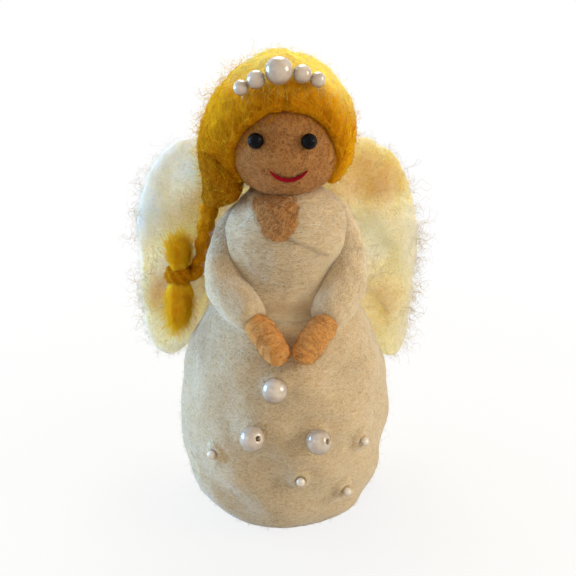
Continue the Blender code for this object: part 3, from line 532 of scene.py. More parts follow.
# Shift, scale and half width of the three fields whose middle values are the felt's fibres
FELT_LINES = ((3.1, 0.8, 0.10), (17.7, 1.3, 0.11), (41.3, 2.1, 0.10))


def felt_group():
    """Felted wool, worked out once. A fibre is a thin line where a warped noise field crosses its middle
    value, and three such fields lie over each other; the mottle is a wide soft noise, and the nap is the
    fibres with fine grain; the grain is also given by itself."""
    group = bpy.data.node_groups.new("felted_wool", "ShaderNodeTree")
    group.interface.new_socket("Vector", in_out="INPUT", socket_type="NodeSocketVector")
    group.interface.new_socket("Fineness", in_out="INPUT", socket_type="NodeSocketFloat")
    given = group.nodes.new("NodeGroupInput").outputs
    place = node(group, "VectorMath", {0: given["Vector"], "Scale": given["Fineness"]},
                 operation="SCALE").outputs[0]
    warp = noise(group, place, 0.6, 1.0, "Color")
    curled = node(group, "VectorMath", {0: warp, 1: (1.6, 1.6, 1.6), 2: place},
                  operation="MULTIPLY_ADD").outputs[0]
    lines = None
    for shift, scale, width in FELT_LINES:
        moved = node(group, "VectorMath", {0: curled, 1: (shift, -shift, 2 * shift)}, operation="ADD")
        field = noise(group, moved.outputs[0], scale, 0.0)
        away = sums(group, "ABSOLUTE", sums(group, "SUBTRACT", field, 0.5))
        line = scaled(group, away, 0.0, width, 1.0, 0.0)
        lines = line if lines is None else sums(group, "MAXIMUM", lines, line)
    grain = noise(group, place, 3.5, 2.0)
    nap = sums(group, "ADD", sums(group, "MULTIPLY", lines, 0.7), sums(group, "MULTIPLY", grain, 0.6))
    results = {
        "Fibres": lines,
        "Mottle": scaled(group, noise(group, place, 0.22, 3.0), 0.3, 0.7),
        "Grain": scaled(group, grain, 0.62, 0.36),
        "Nap": nap,
    }
    for name in results:
        group.interface.new_socket(name, in_out="OUTPUT", socket_type="NodeSocketFloat")
    feed(group, group.nodes.new("NodeGroupOutput"), results)
    return group


FELT = felt_group()


def start_material(name, roughness, sheen=0.0):
    """A material with its Principled shader, and the values that are the same all over it."""
    made = bpy.data.materials.new(name)
    made.use_nodes = True
    shader = made.node_tree.nodes["Principled BSDF"]
    feed(made.node_tree, shader, {"Roughness": roughness, "Specular IOR Level": 0.04, "Sheen Weight": sheen,
                                  "Sheen Roughness": 0.42, "Sheen Tint": rgb(255, 255, 255)})
    return made, made.node_tree, shader


def wool(name, dark, middle, light, fineness=700.0, stretch=(1, 1, 1), coords="Object", depth=0.3,
         fibres=0.4, edge=None, warm=None, sheen=0.6, glow=0.0, reach=0.004, grain=0.3):
    """Felted wool: two tones by the mottle, deeper between the grain, lighter fibres over them, and the nap
    as bump. Light is scattered inside it by the share glow, over about reach metres. Where the piece has a
    shade, the colour goes over to edge above 0 and to warm below it; on the dress, the hair cap and the
    wings these are mostly painted light and shade."""
    made, tree, shader = start_material(name, 0.92, sheen)
    place = node(tree, "TexCoord").outputs[coords]
    place = node(tree, "Mapping", {"Vector": place, "Scale": stretch}).outputs[0]
    felt = node(tree, "Group", {"Vector": place, "Fineness": fineness}, node_tree=FELT).outputs
    deep = rgb(*(0.72 * np.array(dark)))
    colour = blended(tree, felt["Mottle"], rgb(*dark), rgb(*middle))
    colour = blended(tree, sums(tree, "MULTIPLY", felt["Grain"], grain), colour, deep)
    colour = blended(tree, sums(tree, "MULTIPLY", felt["Fibres"], fibres), colour, rgb(*light))
    ends = [other and blended(tree, sums(tree, "MULTIPLY", felt["Fibres"], 0.3), rgb(*other), rgb(*light))
            for other in (edge, warm)]
    feed(tree, shader, {
        "Base Color": by_shade(tree, colour, *ends),
        "Normal": bumped(tree, felt["Nap"], depth, 0.0002),
        "Subsurface Weight": glow,
        "Subsurface Radius": (1.0, 0.8, 0.45),
        "Subsurface Scale": reach,
    })
    return made


def fibre(name, dark, light, sheen, edge=None, warm=None, glow=0.0):
    """Loose wool: each fibre takes its own tone between two colours, and goes over to edge by a shade above
    0 and to warm by one below it, which on the hair and the wings is painted light and shade. Light is
    scattered inside the fibres by the share glow."""
    made, tree, shader = start_material(name, 0.8, sheen)
    tone = node(tree, "Attribute", attribute_name="tone").outputs["Fac"]
    colour = blended(tree, tone, rgb(*dark), rgb(*light))
    feed(tree, shader, {
        "Base Color": by_shade(tree, colour, edge and rgb(*edge), warm and rgb(*warm)),
        "Subsurface Weight": glow,
        "Subsurface Radius": (1.0, 0.7, 0.2),
        "Subsurface Scale": 0.00012,
    })
    return made


def pearl_finish(name, dark, light, lower, grazing):
    """Pearl: a body between two tones in soft clouds, which lets light in, with painted shade and warm
    reflection below and a painted darker rim at grazing angles, under a smooth clear coat."""
    made, tree, shader = start_material(name, 0.2)
    coords = node(tree, "TexCoord").outputs
    cloud = noise(tree, coords["Object"], 420.0, 2.0)
    body = blended(tree, scaled(tree, cloud, 0.35, 0.65), rgb(*dark), rgb(*light))
    # Painted shade and warm reflection on the lower side, then a painted darker rim at grazing angles
    height = node(tree, "SeparateXYZ", {0: coords["Normal"]}).outputs["Z"]
    body = blended(tree, scaled(tree, height, 0.2, -0.9, 0.0, 0.6), body, rgb(*lower))
    facing = node(tree, "LayerWeight", {"Blend": 0.4}).outputs["Facing"]
    body = blended(tree, sums(tree, "MULTIPLY", facing, 0.8), body, rgb(*grazing))
    feed(tree, shader, {
        "Base Color": body,
        "Specular IOR Level": 0.4,
        "Subsurface Weight": 0.5,
        "Subsurface Radius": (1.0, 0.85, 0.7),
        "Subsurface Scale": 0.0015,
        "Coat Weight": 1.0,
        "Coat Roughness": 0.03,
        "Coat IOR": 1.6,
    })
    return made


def eye_finish():
    """Black glass: nearly black, with small dents that break up its highlights."""
    made, tree, shader = start_material("eye_bead", 0.16)
    dents = noise(tree, node(tree, "TexCoord").outputs["Object"], 2400.0, 1.0)
    feed(tree, shader, {
        "Base Color": blended(tree, dents, rgb(4, 3, 5), rgb(12, 10, 14)),
        "Normal": bumped(tree, dents, 0.8, 0.0002),
        "Specular IOR Level": 0.08,
    })
    return made


def drawn_finish(name, dark, light, roughness, metallic, grain):
    """Thread or wire: two tones and a bump in fine streaks across the stretched grain."""
    made, tree, shader = start_material(name, roughness)
    place = node(tree, "TexCoord").outputs["Object"]
    place = node(tree, "Mapping", {"Vector": place, "Scale": grain}).outputs[0]
    streak = noise(tree, place, 1.0, 2.0)
    feed(tree, shader, {
        "Base Color": blended(tree, streak, rgb(*dark), rgb(*light)),
        "Normal": bumped(tree, streak, 0.4, 0.0001),
        "Metallic": metallic,
    })
    return made


DRESS_TONES = (194, 168, 129), (208, 184, 147), (240, 226, 202)
# In the dress, edge is painted light that fills the shade in its grooves, and warm is painted shade at the
# hem, on the right hip and on the right sleeve under the hair
DRESS_LOOK = {"fineness": 1300.0, "depth": 0.3, "fibres": 0.65, "edge": (255, 238, 204),
              "warm": (138, 110, 76), "sheen": 0.8, "glow": 0.5, "grain": 0.2}
DRESS = wool("dress_wool", *DRESS_TONES, stretch=(0.6, 0.6, 1.3), **DRESS_LOOK)
BODICE = wool("bodice_wool", *DRESS_TONES, stretch=(0.3, 0.3, 1.4), **DRESS_LOOK)
SLEEVE = wool("sleeve_wool", *DRESS_TONES, stretch=(1.3, 0.5, 1), coords="UV", **DRESS_LOOK)
DRESS_FIBRE = fibre("dress_fibre", (226, 210, 180), (255, 252, 242), sheen=0.4)
SKIN_LOOK = {"fineness": 1300.0, "depth": 0.25, "sheen": 0.1}
SKIN = wool("skin_wool", (140, 84, 38), (172, 112, 58), (226, 174, 116), fibres=0.5, grain=0.5, **SKIN_LOOK)
SKIN_FIBRE = fibre("skin_fibre", (146, 88, 40), (240, 196, 142), sheen=0.1)
HAND = wool("hand_wool", (198, 114, 42), (236, 162, 80), (255, 208, 140), stretch=(0.5, 2.6, 1), coords="UV",
            fibres=0.5, grain=0.5, **SKIN_LOOK)
HAND_FIBRE = fibre("hand_fibre", (150, 78, 20), (255, 226, 160), sheen=0.1)
PATCH = wool("patch_wool", (160, 94, 38), (204, 134, 68), (240, 190, 128), fibres=0.6, grain=0.6, **SKIN_LOOK)
PATCH_FIBRE = fibre("patch_fibre", (160, 94, 38), (255, 220, 164), sheen=0.1)
HAIR_LOOK = {"fineness": 1300.0, "stretch": (2.0, 0.5, 1), "coords": "UV", "sheen": 0.0}
# In the hair, edge is darker at the fringe, partly painted shade and partly deeper wool, and beside the lock;
# warm is the painted highlight on the crown; the same for the hair's fibres
HAIR = wool("hair_wool", (232, 132, 0), (255, 184, 0), (255, 220, 40), edge=(182, 100, 0),
            warm=(255, 228, 110), depth=0.25, glow=0.2, grain=0.6, **HAIR_LOOK)
HAIR_FIBRE = fibre("hair_fibre", (184, 96, 0), (255, 216, 40), edge=(184, 104, 0), warm=(255, 244, 166),
                   sheen=0.0, glow=0.8)
BRAID = wool("braid_wool", (172, 92, 0), (214, 132, 0), (246, 184, 30), edge=(128, 66, 0), depth=0.25,
             glow=0.15, grain=0.45, **HAIR_LOOK)
BRAID_FIBRE = fibre("braid_fibre", (168, 94, 0), (255, 196, 40), edge=(150, 80, 0), sheen=0.0, glow=0.8)
TUFT = wool("tuft_wool", (255, 172, 0), (255, 196, 10), (255, 222, 80), warm=(160, 86, 0), depth=0.2,
            glow=0.7, grain=0.3, **HAIR_LOOK)
TUFT_FIBRE = fibre("tuft_fibre", (255, 160, 0), (255, 204, 40), warm=(210, 116, 0), sheen=0.0, glow=0.8)
# In the wings, edge is painted cool light along the rim, and warm is painted warm shade and reflection in
# patches; the same for the wings' fibres
WING = wool("wing_wool", (226, 203, 142), (240, 224, 178), (255, 250, 234), edge=(224, 235, 236),
            warm=(210, 177, 114), fineness=1100.0, glow=0.8, reach=0.01, depth=0.6, fibres=0.75, grain=0.12)
WING_FIBRE = fibre("wing_fibre", (228, 212, 170), (252, 246, 228), edge=(240, 244, 240), sheen=0.3)
WISP = fibre("wing_wisp", (168, 142, 96), (232, 214, 176), sheen=0.1)
MOUTH = wool("mouth_wool", (124, 4, 20), (150, 10, 32), (176, 30, 52), fineness=1500.0, sheen=0.1)
CORE = wool("core_wool", (188, 174, 146), (212, 200, 176), (232, 224, 204))
BASE = wool("base_felt", (186, 170, 138), (206, 192, 162), (226, 216, 192), fineness=900.0)
# Each pearl's third colour is painted shade and warm reflection on its lower side, the fourth a painted
# darker rim at grazing angles
PEARL = pearl_finish("pearl", (205, 189, 174), (234, 225, 216), (166, 130, 98), (96, 78, 58))
SEED_PEARL = pearl_finish("seed_pearl", (236, 226, 214), (248, 242, 236), (204, 178, 150), (170, 150, 128))
EYE = eye_finish()
THREAD = drawn_finish("thread", (206, 190, 160), (232, 222, 200), 0.8, 0.0, (6000, 6000, 1500))
WIRE = drawn_finish("wire", (120, 118, 112), (172, 170, 164), 0.4, 1.0, (4000, 4000, 4000))


# Body

def skirt_radius(height):
    """The bell: one quarter ellipse from the widest ring up to the waist, another down to the foot."""
    above = np.clip((height - WIDEST_Z) / (WAIST_Z - WIDEST_Z), 0.0, 1.0)
    below = np.clip((WIDEST_Z - height) / WIDEST_Z, 0.0, 1.0)
    upper = WAIST_RADIUS + SKIRT_SPREAD * np.sqrt(1 - above ** 2)
    return np.where(height >= WIDEST_Z, upper, FOOT_RADIUS + FOOT_SPREAD * np.sqrt(1 - below ** 2))


def pearl_places():
    """Each skirt pearl's name, seat, bore's direction, size and way out from the skirt: the bore is the level
    way turned about the way out, then tilted outwards."""
    rows = []
    for name, azimuth, height, size, turn, tilt in SKIRT_PEARLS:
        slope = (skirt_radius(height + 0.1) - skirt_radius(height - 0.1)) / 0.2
        out = unit(around(azimuth, 1.0, -slope))
        level = around(azimuth + 90, 1.0, 0.0)
        turn, tilt = np.radians((turn, tilt))
        side = level * np.cos(turn) + np.cross(out, level) * np.sin(turn)
        seat = around(azimuth, skirt_radius(height), height)
        rows.append((name, seat, side * np.cos(tilt) + out * np.sin(tilt), size, out))
    return rows


def skirt_form():
    """The turned bell with its hem rolled under and closed above the base disc and in the waist, moved out
    and in by the part's own waves and swells. Finer lumps of two sizes lie on it, and the wool dips under
    each pearl and rises round each seed pearl."""
    turn = np.linspace(0.0, np.pi / 2, 60)
    side = np.stack([WAIST_RADIUS + SKIRT_SPREAD * np.cos(turn),
                     WIDEST_Z + (WAIST_Z - WIDEST_Z) * np.sin(turn)], axis=1)
    hem = np.stack([FOOT_RADIUS + FOOT_SPREAD * np.sin(turn),
                    HEM_Z + (WIDEST_Z - HEM_Z) * (1 - np.cos(turn))], axis=1)
    form = turned(np.vstack([SKIRT_FOLD, hem, side[1:], SKIRT_TOP]), 280, 176)
    points, azimuth = form.points, azimuth_of(form.points)
    z = points[..., 2]
    calm = np.clip(z / 6, 0, 1) * np.clip((WAIST_Z - 7 - z) / 6, 0, 1)
    fine = (0.15 + 0.85 * ease(0.5, 6.0, z) * ease(59.6, 55.0, z)) * (z < 59.3)
    seats = np.zeros_like(z)
    for _, seat, _, size, _ in pearl_places():
        away = np.linalg.norm(points - seat, axis=2)
        calm *= np.clip((away - size / 6) / 6, 0, 1)
        fine *= ease(0.5, size + 1.5, away)
        rise, ring, wide = (0.5, 2.5, 1.1) if size > SEED_LIMIT else (1.2, 1.6, 0.85)
        seats += rise * np.exp(-((away - ring) / wide) ** 2)
    lump = calm * SKIRT_LUMP * waves(SKIRT_WAVES, azimuth / 360, z / WAIST_Z)
    for middle, spread, level, level_spread, rise in SKIRT_SWELLS:
        far = ((azimuth - middle) / spread) ** 2 + ((z - level) / level_spread) ** 2
        lump += rise * np.exp(-far) * np.clip(z / 6, 0, 1)
    radius = np.hypot(points[..., 0], points[..., 1])
    grow = 1 + lump * (radius > skirt_radius(z) - 1.5) / np.maximum(radius, 1.0)
    return Form(widened(points, grow)).raised(
        fine * (0.13 * lumps(points, 8.0, 4) + 0.05 * lumps(points, 3.0, 5)) + seats)


def bodice_radius(height):
    """The bodice's outline: straight from the waist to the chest, then a quarter ellipse to the collar."""
    rise = np.clip((height - CHEST_Z) / COLLAR_RISE, 0.0, 1.0)
    flare = WAIST_FLARE * (CHEST_LOW_Z - height) / (CHEST_LOW_Z - WAIST_Z)
    chest = np.where(height < CHEST_LOW_Z, CHEST_RADIUS + flare, CHEST_RADIUS)
    return np.where(height > CHEST_Z, COLLAR_RADIUS + COLLAR_SPREAD * np.sqrt(1 - rise ** 2), chest)


CHEST_WIDTHS = {
    "right": ((57.4, 12.4), (61.0, 11.9), (65.0, 11.8), (69.0, 12.6), (72.0, 14.0), (75.0, 15.0),
              (77.5, 14.7), (80.0, 13.0), (82.4, 11.0), (84.4, 9.6), (86.9, 8.4)),
    "left": ((57.4, 12.2), (61.0, 11.5), (65.0, 11.2), (69.0, 12.2), (72.0, 13.8), (75.0, 15.2),
             (77.5, 15.6), (80.0, 14.7), (82.4, 13.2), (84.4, 11.2), (86.9, 8.8)),
}


def chest_width(side, height):
    """The bodice's half width on one side, on a smooth curve through its table."""
    curve = smooth_path(CHEST_WIDTHS[side], 200)
    return np.interp(height, curve[:, 0], curve[:, 1])


def bodice_form():
    """The turned bodice, drawn out sideways to the shoulders by a smooth curve of half widths for each side:
    a soft belly in front, a foot that runs out onto the skirt in a curve, and a wrap edge that runs down over
    the doll's left chest; wool above the edge lies higher than wool below it. The wool is filled up where the
    sleeves leave it."""
    height = np.linspace(BODICE_LOW_Z, COLLAR_Z, 120)
    outline = np.stack([bodice_radius(height), height], axis=1)
    points = turned(np.vstack([BODICE_FOOT, outline, BODICE_TOP]), 232, 150).points
    x, z, azimuth = points[..., 0], points[..., 2], azimuth_of(points)
    outer = np.hypot(x, points[..., 1])
    half = np.where(x > 0, chest_width("left", z), chest_width("right", z))
    wide = np.where(outer > 8.0, half / bodice_radius(np.clip(z, BODICE_LOW_Z, COLLAR_Z)), 1.0)
    points = points * np.stack([wide, np.ones_like(z), np.ones_like(z)], axis=-1)
    front = np.exp(-(azimuth / 62.0) ** 2)
    amount = 0.6 * front * np.exp(-((z - BELLY_Z) / 4.0) ** 2)
    edge = 78.6 - 0.155 * azimuth + 0.0006 * azimuth ** 2
    on_chest = ease(-4.0, 12.0, azimuth) * ease(68.0, 36.0, azimuth)
    over = ease(-1.1, 0.9, z - edge) * np.exp(-np.maximum(z - edge, 0.0) / 3.6)
    amount += 1.2 * on_chest * over
    amount += 0.25 * lumps(points, 11.0, 7) + 0.05 * lumps(points, 3.2, 8)
    for side in SIDES:
        arm = sleeve_limb(side)
        amount += 0.5 * seam(points, arm, 1.9) * ease(69.0, 74.0, z)
        amount += 1.1 * seam(points, arm, 2.2) * ease(58.0, 61.0, z) * ease(76.0, 70.0, z)
    points = Form(points).raised(amount * ease(86.9, 84.0, z) * ease(57.4, 58.4, z)).points
    foot = 3.4 * np.clip((63.5 - z) / 5.4, 0.0, 1.0) ** 2.6 * (outer > 9.5)
    foot += 1.6 * front * np.exp(-((z - 62.2) / 2.2) ** 2) * (outer > 9.5)
    return Form(widened(points, 1 + foot / np.maximum(outer, 1.0)))


def patch_form():
    """A U of skin wool in the neckline: rings from its middle out to an outline that is a half oval below
    and square above, laid on the bodice's outline, full in the middle and sunk along its edge; its back
    closes inside the bodice."""
    share = np.concatenate([np.linspace(0.0, 1.0, 30), np.linspace(1.0, 0.0, 8)[1:]])
    angle = TURN * np.arange(80) / 80
    power = np.where(np.sin(angle) > 0, 0.5, 0.85)
    rise = np.sign(np.sin(angle)) * np.abs(np.sin(angle)) ** power
    wide = np.sign(np.cos(angle)) * np.abs(np.cos(angle)) ** power
    height = PATCH_Z + share[:, None] * np.where(rise < 0, PATCH_DROP, PATCH_RISE) * rise
    x = PATCH_X + share[:, None] * PATCH_HALF_WIDTH * wide
    lift = np.concatenate([0.8 - 1.3 * np.linspace(0.0, 1.0, 30) ** 4, np.full(7, -1.6)])
    radius = bodice_radius(np.minimum(height, COLLAR_Z)) + lift[:, None]
    return Form(np.stack([x, -np.sqrt(np.maximum(radius ** 2 - x ** 2, 1.0)), height], axis=-1))


def head_form():
    """The head: an ellipsoid, fuller at the cheeks, with the eyes and the mouth pressed in a little."""
    direction = globe(HEAD_MIDDLE, (1.0, 1.0, 1.0), 100, 168).points - HEAD_MIDDLE
    full = 1 - CHEEKS * direction[..., 2:]
    points = HEAD_MIDDLE + direction * HEAD_HALF * np.concatenate([full, full, np.ones_like(full)], axis=2)
    amount = 0.16 * lumps(points, 7.0, 11) + 0.06 * lumps(points, 2.4, 12)
    for azimuth in EYES.values():
        away = np.linalg.norm(points - head_point(azimuth, EYE_ELEVATION), axis=2)
        amount -= 0.5 * np.exp(-(away / 2.3) ** 2)
    away = np.linalg.norm(points[:, :, None, :] - mouth_line(30, 0.0), axis=3).min(axis=2)
    return Form(points).raised(amount - 0.22 * np.exp(-(away / 1.0) ** 2))


def head_point(azimuth, elevation, grow=0.0):
    """A point on the head's outline at an azimuth and elevation in degrees."""
    rise = np.sin(np.radians(elevation))
    radius = (HEAD_HALF[0] + grow) * np.cos(np.radians(elevation)) * (1 - CHEEKS * rise)
    return around(azimuth, radius, HEAD_MIDDLE[2] + (HEAD_HALF[2] + grow) * rise)


def mouth_line(count, grow):
    """The smile: its elevation rises by a power of the way from its middle, so that it is flat there."""
    share = np.linspace(-1.0, 1.0, count)
    elevation = MOUTH_ELEVATION + MOUTH_RISE * np.abs(share) ** MOUTH_POWER
    return head_point(MOUTH_AZIMUTH + MOUTH_REACH * share, elevation, grow)


# Hair

def face_share(points):
    """How far a point is across the face opening, squared: 1 on its edge. The opening is an ellipsoid that is
    wider at the doll's right cheek."""
    cheek = (points[..., 0] < 0) * ease(110.0, 97.0, points[..., 2])
    half = FACE_HALF + FACE_ROOM + cheek[..., None] * CHEEK_ROOM
    return (((points - FACE_MIDDLE) / half) ** 2).sum(axis=-1)


def hair_form():
    """The cap: rings about a pole at the back of the head, on an ellipsoid, out to the edge where the face
    opening or the neck cuts it; towards the face the hair lies flatter, and its edge rolls in to the head and
    closes inside it. Three shallow dents give its outline. The shade is 1 at the fringe, partly painted shade
    under its thick edge and partly deeper wool, and falls off up the hair; it rises beside the side lock, to
    meet the lock's darker wool, and goes below 0 on the crown and towards HAIR_GLINT as a painted highlight."""
    pole = unit(np.array(HAIR_POLE))
    first = np.array([1.0, 0.0, 0.0])
    second = np.cross(pole, first)
    angle = TURN * np.arange(HAIR_COUNT) / HAIR_COUNT
    ring = np.cos(angle)[:, None] * first + np.sin(angle)[:, None] * second

    def place(polar):
        """Points on the ellipsoid, by the angle from the pole."""
        way = np.cos(polar)[..., None] * pole + np.sin(polar)[..., None] * ring
        return HAIR_MIDDLE + way * HAIR_HALF

    polar = np.linspace(0.2, 3.0, 900)[:, None] * np.ones(HAIR_COUNT)
    spots = place(polar)
    cut = (face_share(spots) < 1) | (spots[..., 2] < HAIR_END_Z + 1.0)
    edge = polar[np.argmax(cut, axis=0), np.arange(HAIR_COUNT)]
    spread = np.exp(-np.linspace(-2, 2, 9) ** 2)
    edge = np.convolve(np.concatenate([edge[-4:], edge, edge[:4]]), spread / spread.sum(), "valid")
    share = np.linspace(0.0, 1.0, HAIR_ROWS)[:, None]
    points = place(share * edge)
    to_edge = (1 - share) * edge * HAIR_RADIUS
    way = points - HEAD_MIDDLE
    scalp = HEAD_MIDDLE + way / np.linalg.norm(way / (HEAD_HALF + 1.5), axis=2, keepdims=True)
    flat = 0.78 * np.exp(-(to_edge / 4.4) ** 2) * ease(0.0, -9.0, points[..., 1])
    points = points + (scalp - points) * flat[..., None]
    rim = points[-1]
    way = unit(rim - HEAD_MIDDLE)
    inner = HEAD_MIDDLE + way * (1 / np.linalg.norm(way / HEAD_HALF, axis=1, keepdims=True) - 0.5)
    onward = unit(points[-1] - points[-3])
    roll = np.linspace(0.0, 1.0, LIP_ROWS + 1)[1:, None, None]
    depth = np.linalg.norm(rim - inner, axis=1)[:, None]
    lip = rim * (1 - roll) + inner * roll + onward * depth * 0.3 * np.sin(np.pi * roll)
    points = np.concatenate([points, lip, np.broadcast_to(HEAD_MIDDLE, (1, HAIR_COUNT, 3))])
    to_edge = np.concatenate([to_edge, np.zeros((LIP_ROWS + 1, HAIR_COUNT))])
    turn = np.broadcast_to(angle, to_edge.shape)
    strand = lumps(np.stack([np.cos(turn) * 9, np.sin(turn) * 9, to_edge / 9], axis=-1), 2.6, 21)
    amount = 0.4 * lumps(points, 10.0, 22) + 0.15 * lumps(points, 3.4, 23) + 0.15 * strand
    way = unit((points - HAIR_MIDDLE) / HAIR_HALF)
    for deep, low, high, middle in HAIR_DENTS:
        amount -= deep * ease(low, high, way @ unit(np.array(middle)))
    amount += 1.0 * seam(points, lock_limb(), 1.8)
    keep = np.concatenate([np.ones(HAIR_ROWS + 4), np.linspace(1.0, 0.0, 7)])[:, None]
    z = points[..., 2]
    # Painted shade at the fringe, partly deeper wool; darker beside the lock; painted highlight on the crown
    # and towards HAIR_GLINT
    shade = np.exp(-(to_edge / 4.5) ** 2) * (0.35 + 0.65 * ease(2.0, -8.0, points[..., 1]))
    shade = np.maximum(shade, 0.8 * seam(points, lock_limb(), 5.0) * ease(108.0, 98.0, z))
    shade -= 0.8 * ease(110.0, 119.0, z) + 0.9 * ease(0.75, 0.97, way @ unit(np.array(HAIR_GLINT)))
    return Form(points).raised(amount * keep), shade


def lock_limb():
    """The side lock: it falls from the cap past the doll's right cheek and turns back to the braid, with
    shallow grooves along it."""
    def grooves(angle, t):
        """Five wide grooves and eleven narrow ones, which turn a little on the way down."""
        return 1 + 0.05 * np.sin(5 * angle + 7 * t) + 0.03 * np.sin(11 * angle - 5 * t)

    return limb(LOCK_KNOTS, LOCK_RADII, 96, 76, (0.0, 1.0, 0.3), blunt=8.0, twist=grooves)


# Wings

# Place across and up, width and strength of each patch of painted warm shade and reflection; below 0 it is
# painted pale light
WING_PAINTED_SHADING = {
    "right": ((-22.0, 91.0, 9.0, -1.2), (-35.0, 74.0, 7.0, -0.6), (-21.0, 76.0, 7.0, 0.3),
              (-34.0, 46.0, 9.0, 1.3), (-38.0, 56.0, 9.0, 0.6)),
    "left": ((22.0, 87.0, 10.0, 1.4), (32.0, 86.0, 10.0, 1.4), (23.0, 75.0, 8.0, -0.8),
             (24.0, 64.0, 7.0, -0.5), (30.0, 48.0, 8.0, 0.5)),
}


def wing_form(side):
    """A leaf: a sphere's across, through and up stretched between tip and top; below its middle the leaf
    goes outwards by a power of the drop and narrows, and it leans back with its reach and its drop. The
    part's own puffs move it outwards from its middle, less along its rim. It is kept off the skirt, and finer
    puffs of two sizes lie on it. The right wing reaches a little further out, and its front has a shallow
    hollow that leaves room for the braid. The shade rises along the outer rim as painted cool rim light, and
    falls or rises with the strength of each painted patch: painted warm shade and reflection, or painted pale
    light."""
    turn = np.pi * (np.arange(110) / 109 - 0.5)[:, None]
    angle = TURN * np.arange(150)[None, :] / 150
    across, through = np.cos(turn) * np.cos(angle), np.cos(turn) * np.sin(angle)
    up = np.sin(turn) * np.ones_like(angle)
    puff = WING_PUFF * waves(WING_WAVES, across + WING_WAVE_SHIFT[side], up)
    z = WING_Z + np.where(up > 0, WING_RISE, WING_DROP) * up
    low = np.maximum(0.0, -up - 0.1) / 0.9
    out = WING_MIDDLES[side] + 12.0 * low ** 1.3 + WING_HALF_WIDTH * (1 - 0.35 * low) * across
    out += (1.2 * ease(0.0, 1.0, across) + 1.2 * low) * (side == "right")
    back = WING_BACK + WING_LEAN * (out - 2.4) + WING_DROP_LEAN * np.maximum(0.0, WAIST_Z - z)
    full = np.sign(through) * np.abs(through) ** 0.8
    rim = WING_RIM_PUFF * puff
    points = np.stack([SIDES[side] * (out + rim * across), back + (WING_HALF_DEPTH + puff) * full,
                       z + rim * up], axis=-1)
    seed = 40 if side == "right" else 50
    points = Form(points).raised(0.25 * lumps(points, 6.0, seed + 1)
                                 + 0.06 * lumps(points, 2.8, seed + 2)).points
    reach = np.hypot(points[..., 0], points[..., 1])
    wall = np.where(points[..., 2] < WAIST_Z, skirt_radius(points[..., 2]), 12.2) + 0.7 + 0.4 * (through + 1)
    points = widened(points, np.maximum(reach, wall) / reach)
    x, z = points[..., 0], points[..., 2]
    if side == "right":
        room = np.exp(-((x - WING_ROOM_X) / 5.0) ** 2 - ((z - WING_ROOM_Z) / 12.0) ** 2)
        points[..., 1] += WING_ROOM * room * ease(0.1, -0.4, through)
    # Painted cool light along the outer rim, then painted warm shade and pale light in patches
    shade = 0.7 * ease(0.55, 1.0, np.sqrt(across ** 2 + up ** 2)) * ease(-0.5, 0.3, across + 0.6 * up)
    for patch_x, patch_z, wide, strength in WING_PAINTED_SHADING[side]:
        shade -= strength * np.exp(-((x - patch_x) ** 2 + (z - patch_z) ** 2) / wide ** 2)
    return Form(points), shade


# Arms

ARM_KNOTS = {
    "right": ((-7.2, 0.8, 82.2), (-10.9, 0.6, 77.6), (-13.9, -0.7, 72.2), (-15.0, -3.7, 67.2),
              (-14.2, -7.6, 63.3), (-10.6, -12.9, 60.9), (-6.4, -17.8, 58.9)),
    "left": ((8.6, 0.8, 83.0), (12.3, 0.6, 78.6), (14.6, -0.6, 72.8), (14.9, -3.9, 67.4),
             (14.0, -7.9, 63.3), (11.5, -13.0, 60.8), (8.8, -17.8, 58.8)),
}
SLEEVE_RADII = {
    "right": (2.6, 3.9, 4.3, 4.6, 5.0, 5.1, 4.8, 4.2),
    "left": (2.6, 3.9, 4.5, 4.9, 5.4, 5.4, 5.0, 4.3),
}
HAND_RADII = (2.7, 3.2, 3.35, 3.3, 3.2, 3.0)
SLEEVE_SPLIT, SLEEVE_OVERLAP = 58, 8
SLEEVE_UNDER = (0.0, 0.5, 0.8, 0.9, 0.96, 0.99)


def sleeve_limb(side):
    """The whole sleeve, from inside the shoulder round the elbow to the cuff."""
    plane = (0.587 * SIDES[side], -0.579, 0.32)
    return limb(ARM_KNOTS[side], SLEEVE_RADII[side], 132, 72, plane, blunt=14.0)


def sleeve_forms(side):
    """The sleeve in two lengths of one limb: where they meet, each is drawn in under the other, and both
    close inside the arm. The wool is filled up where the sleeve leaves the shoulder."""
    whole = sleeve_limb(side)
    x, y, z = np.moveaxis(whole.points, 2, 0)
    far = np.hypot(x / chest_width(side, z), y / bodice_radius(z)) - 1
    seed = 61 if side == "right" else 62
    amount = 0.5 * np.exp(-(far * 13 / 1.9) ** 2) * ease(69.0, 74.0, z)
    amount += 0.22 * lumps(whole.points, 8.0, seed) + 0.05 * lumps(whole.points, 2.6, 63)
    points = whole.raised(amount).points
    middles = points.mean(axis=1, keepdims=True)
    drawn_in = np.concatenate([np.ones(SLEEVE_SPLIT), np.linspace(0.99, 0.7, SLEEVE_OVERLAP), [0.35, 0.0]])
    under = np.concatenate([SLEEVE_UNDER, np.ones(len(points) - SLEEVE_SPLIT)])
    first, last = SLEEVE_SPLIT - len(SLEEVE_UNDER), len(drawn_in)
    shoulder = middles[:last] + (points[:last] - middles[:last]) * drawn_in[:, None, None]
    elbow = middles[first:] + (points[first:] - middles[first:]) * under[:, None, None]
    return Form(shoulder), Form(elbow)


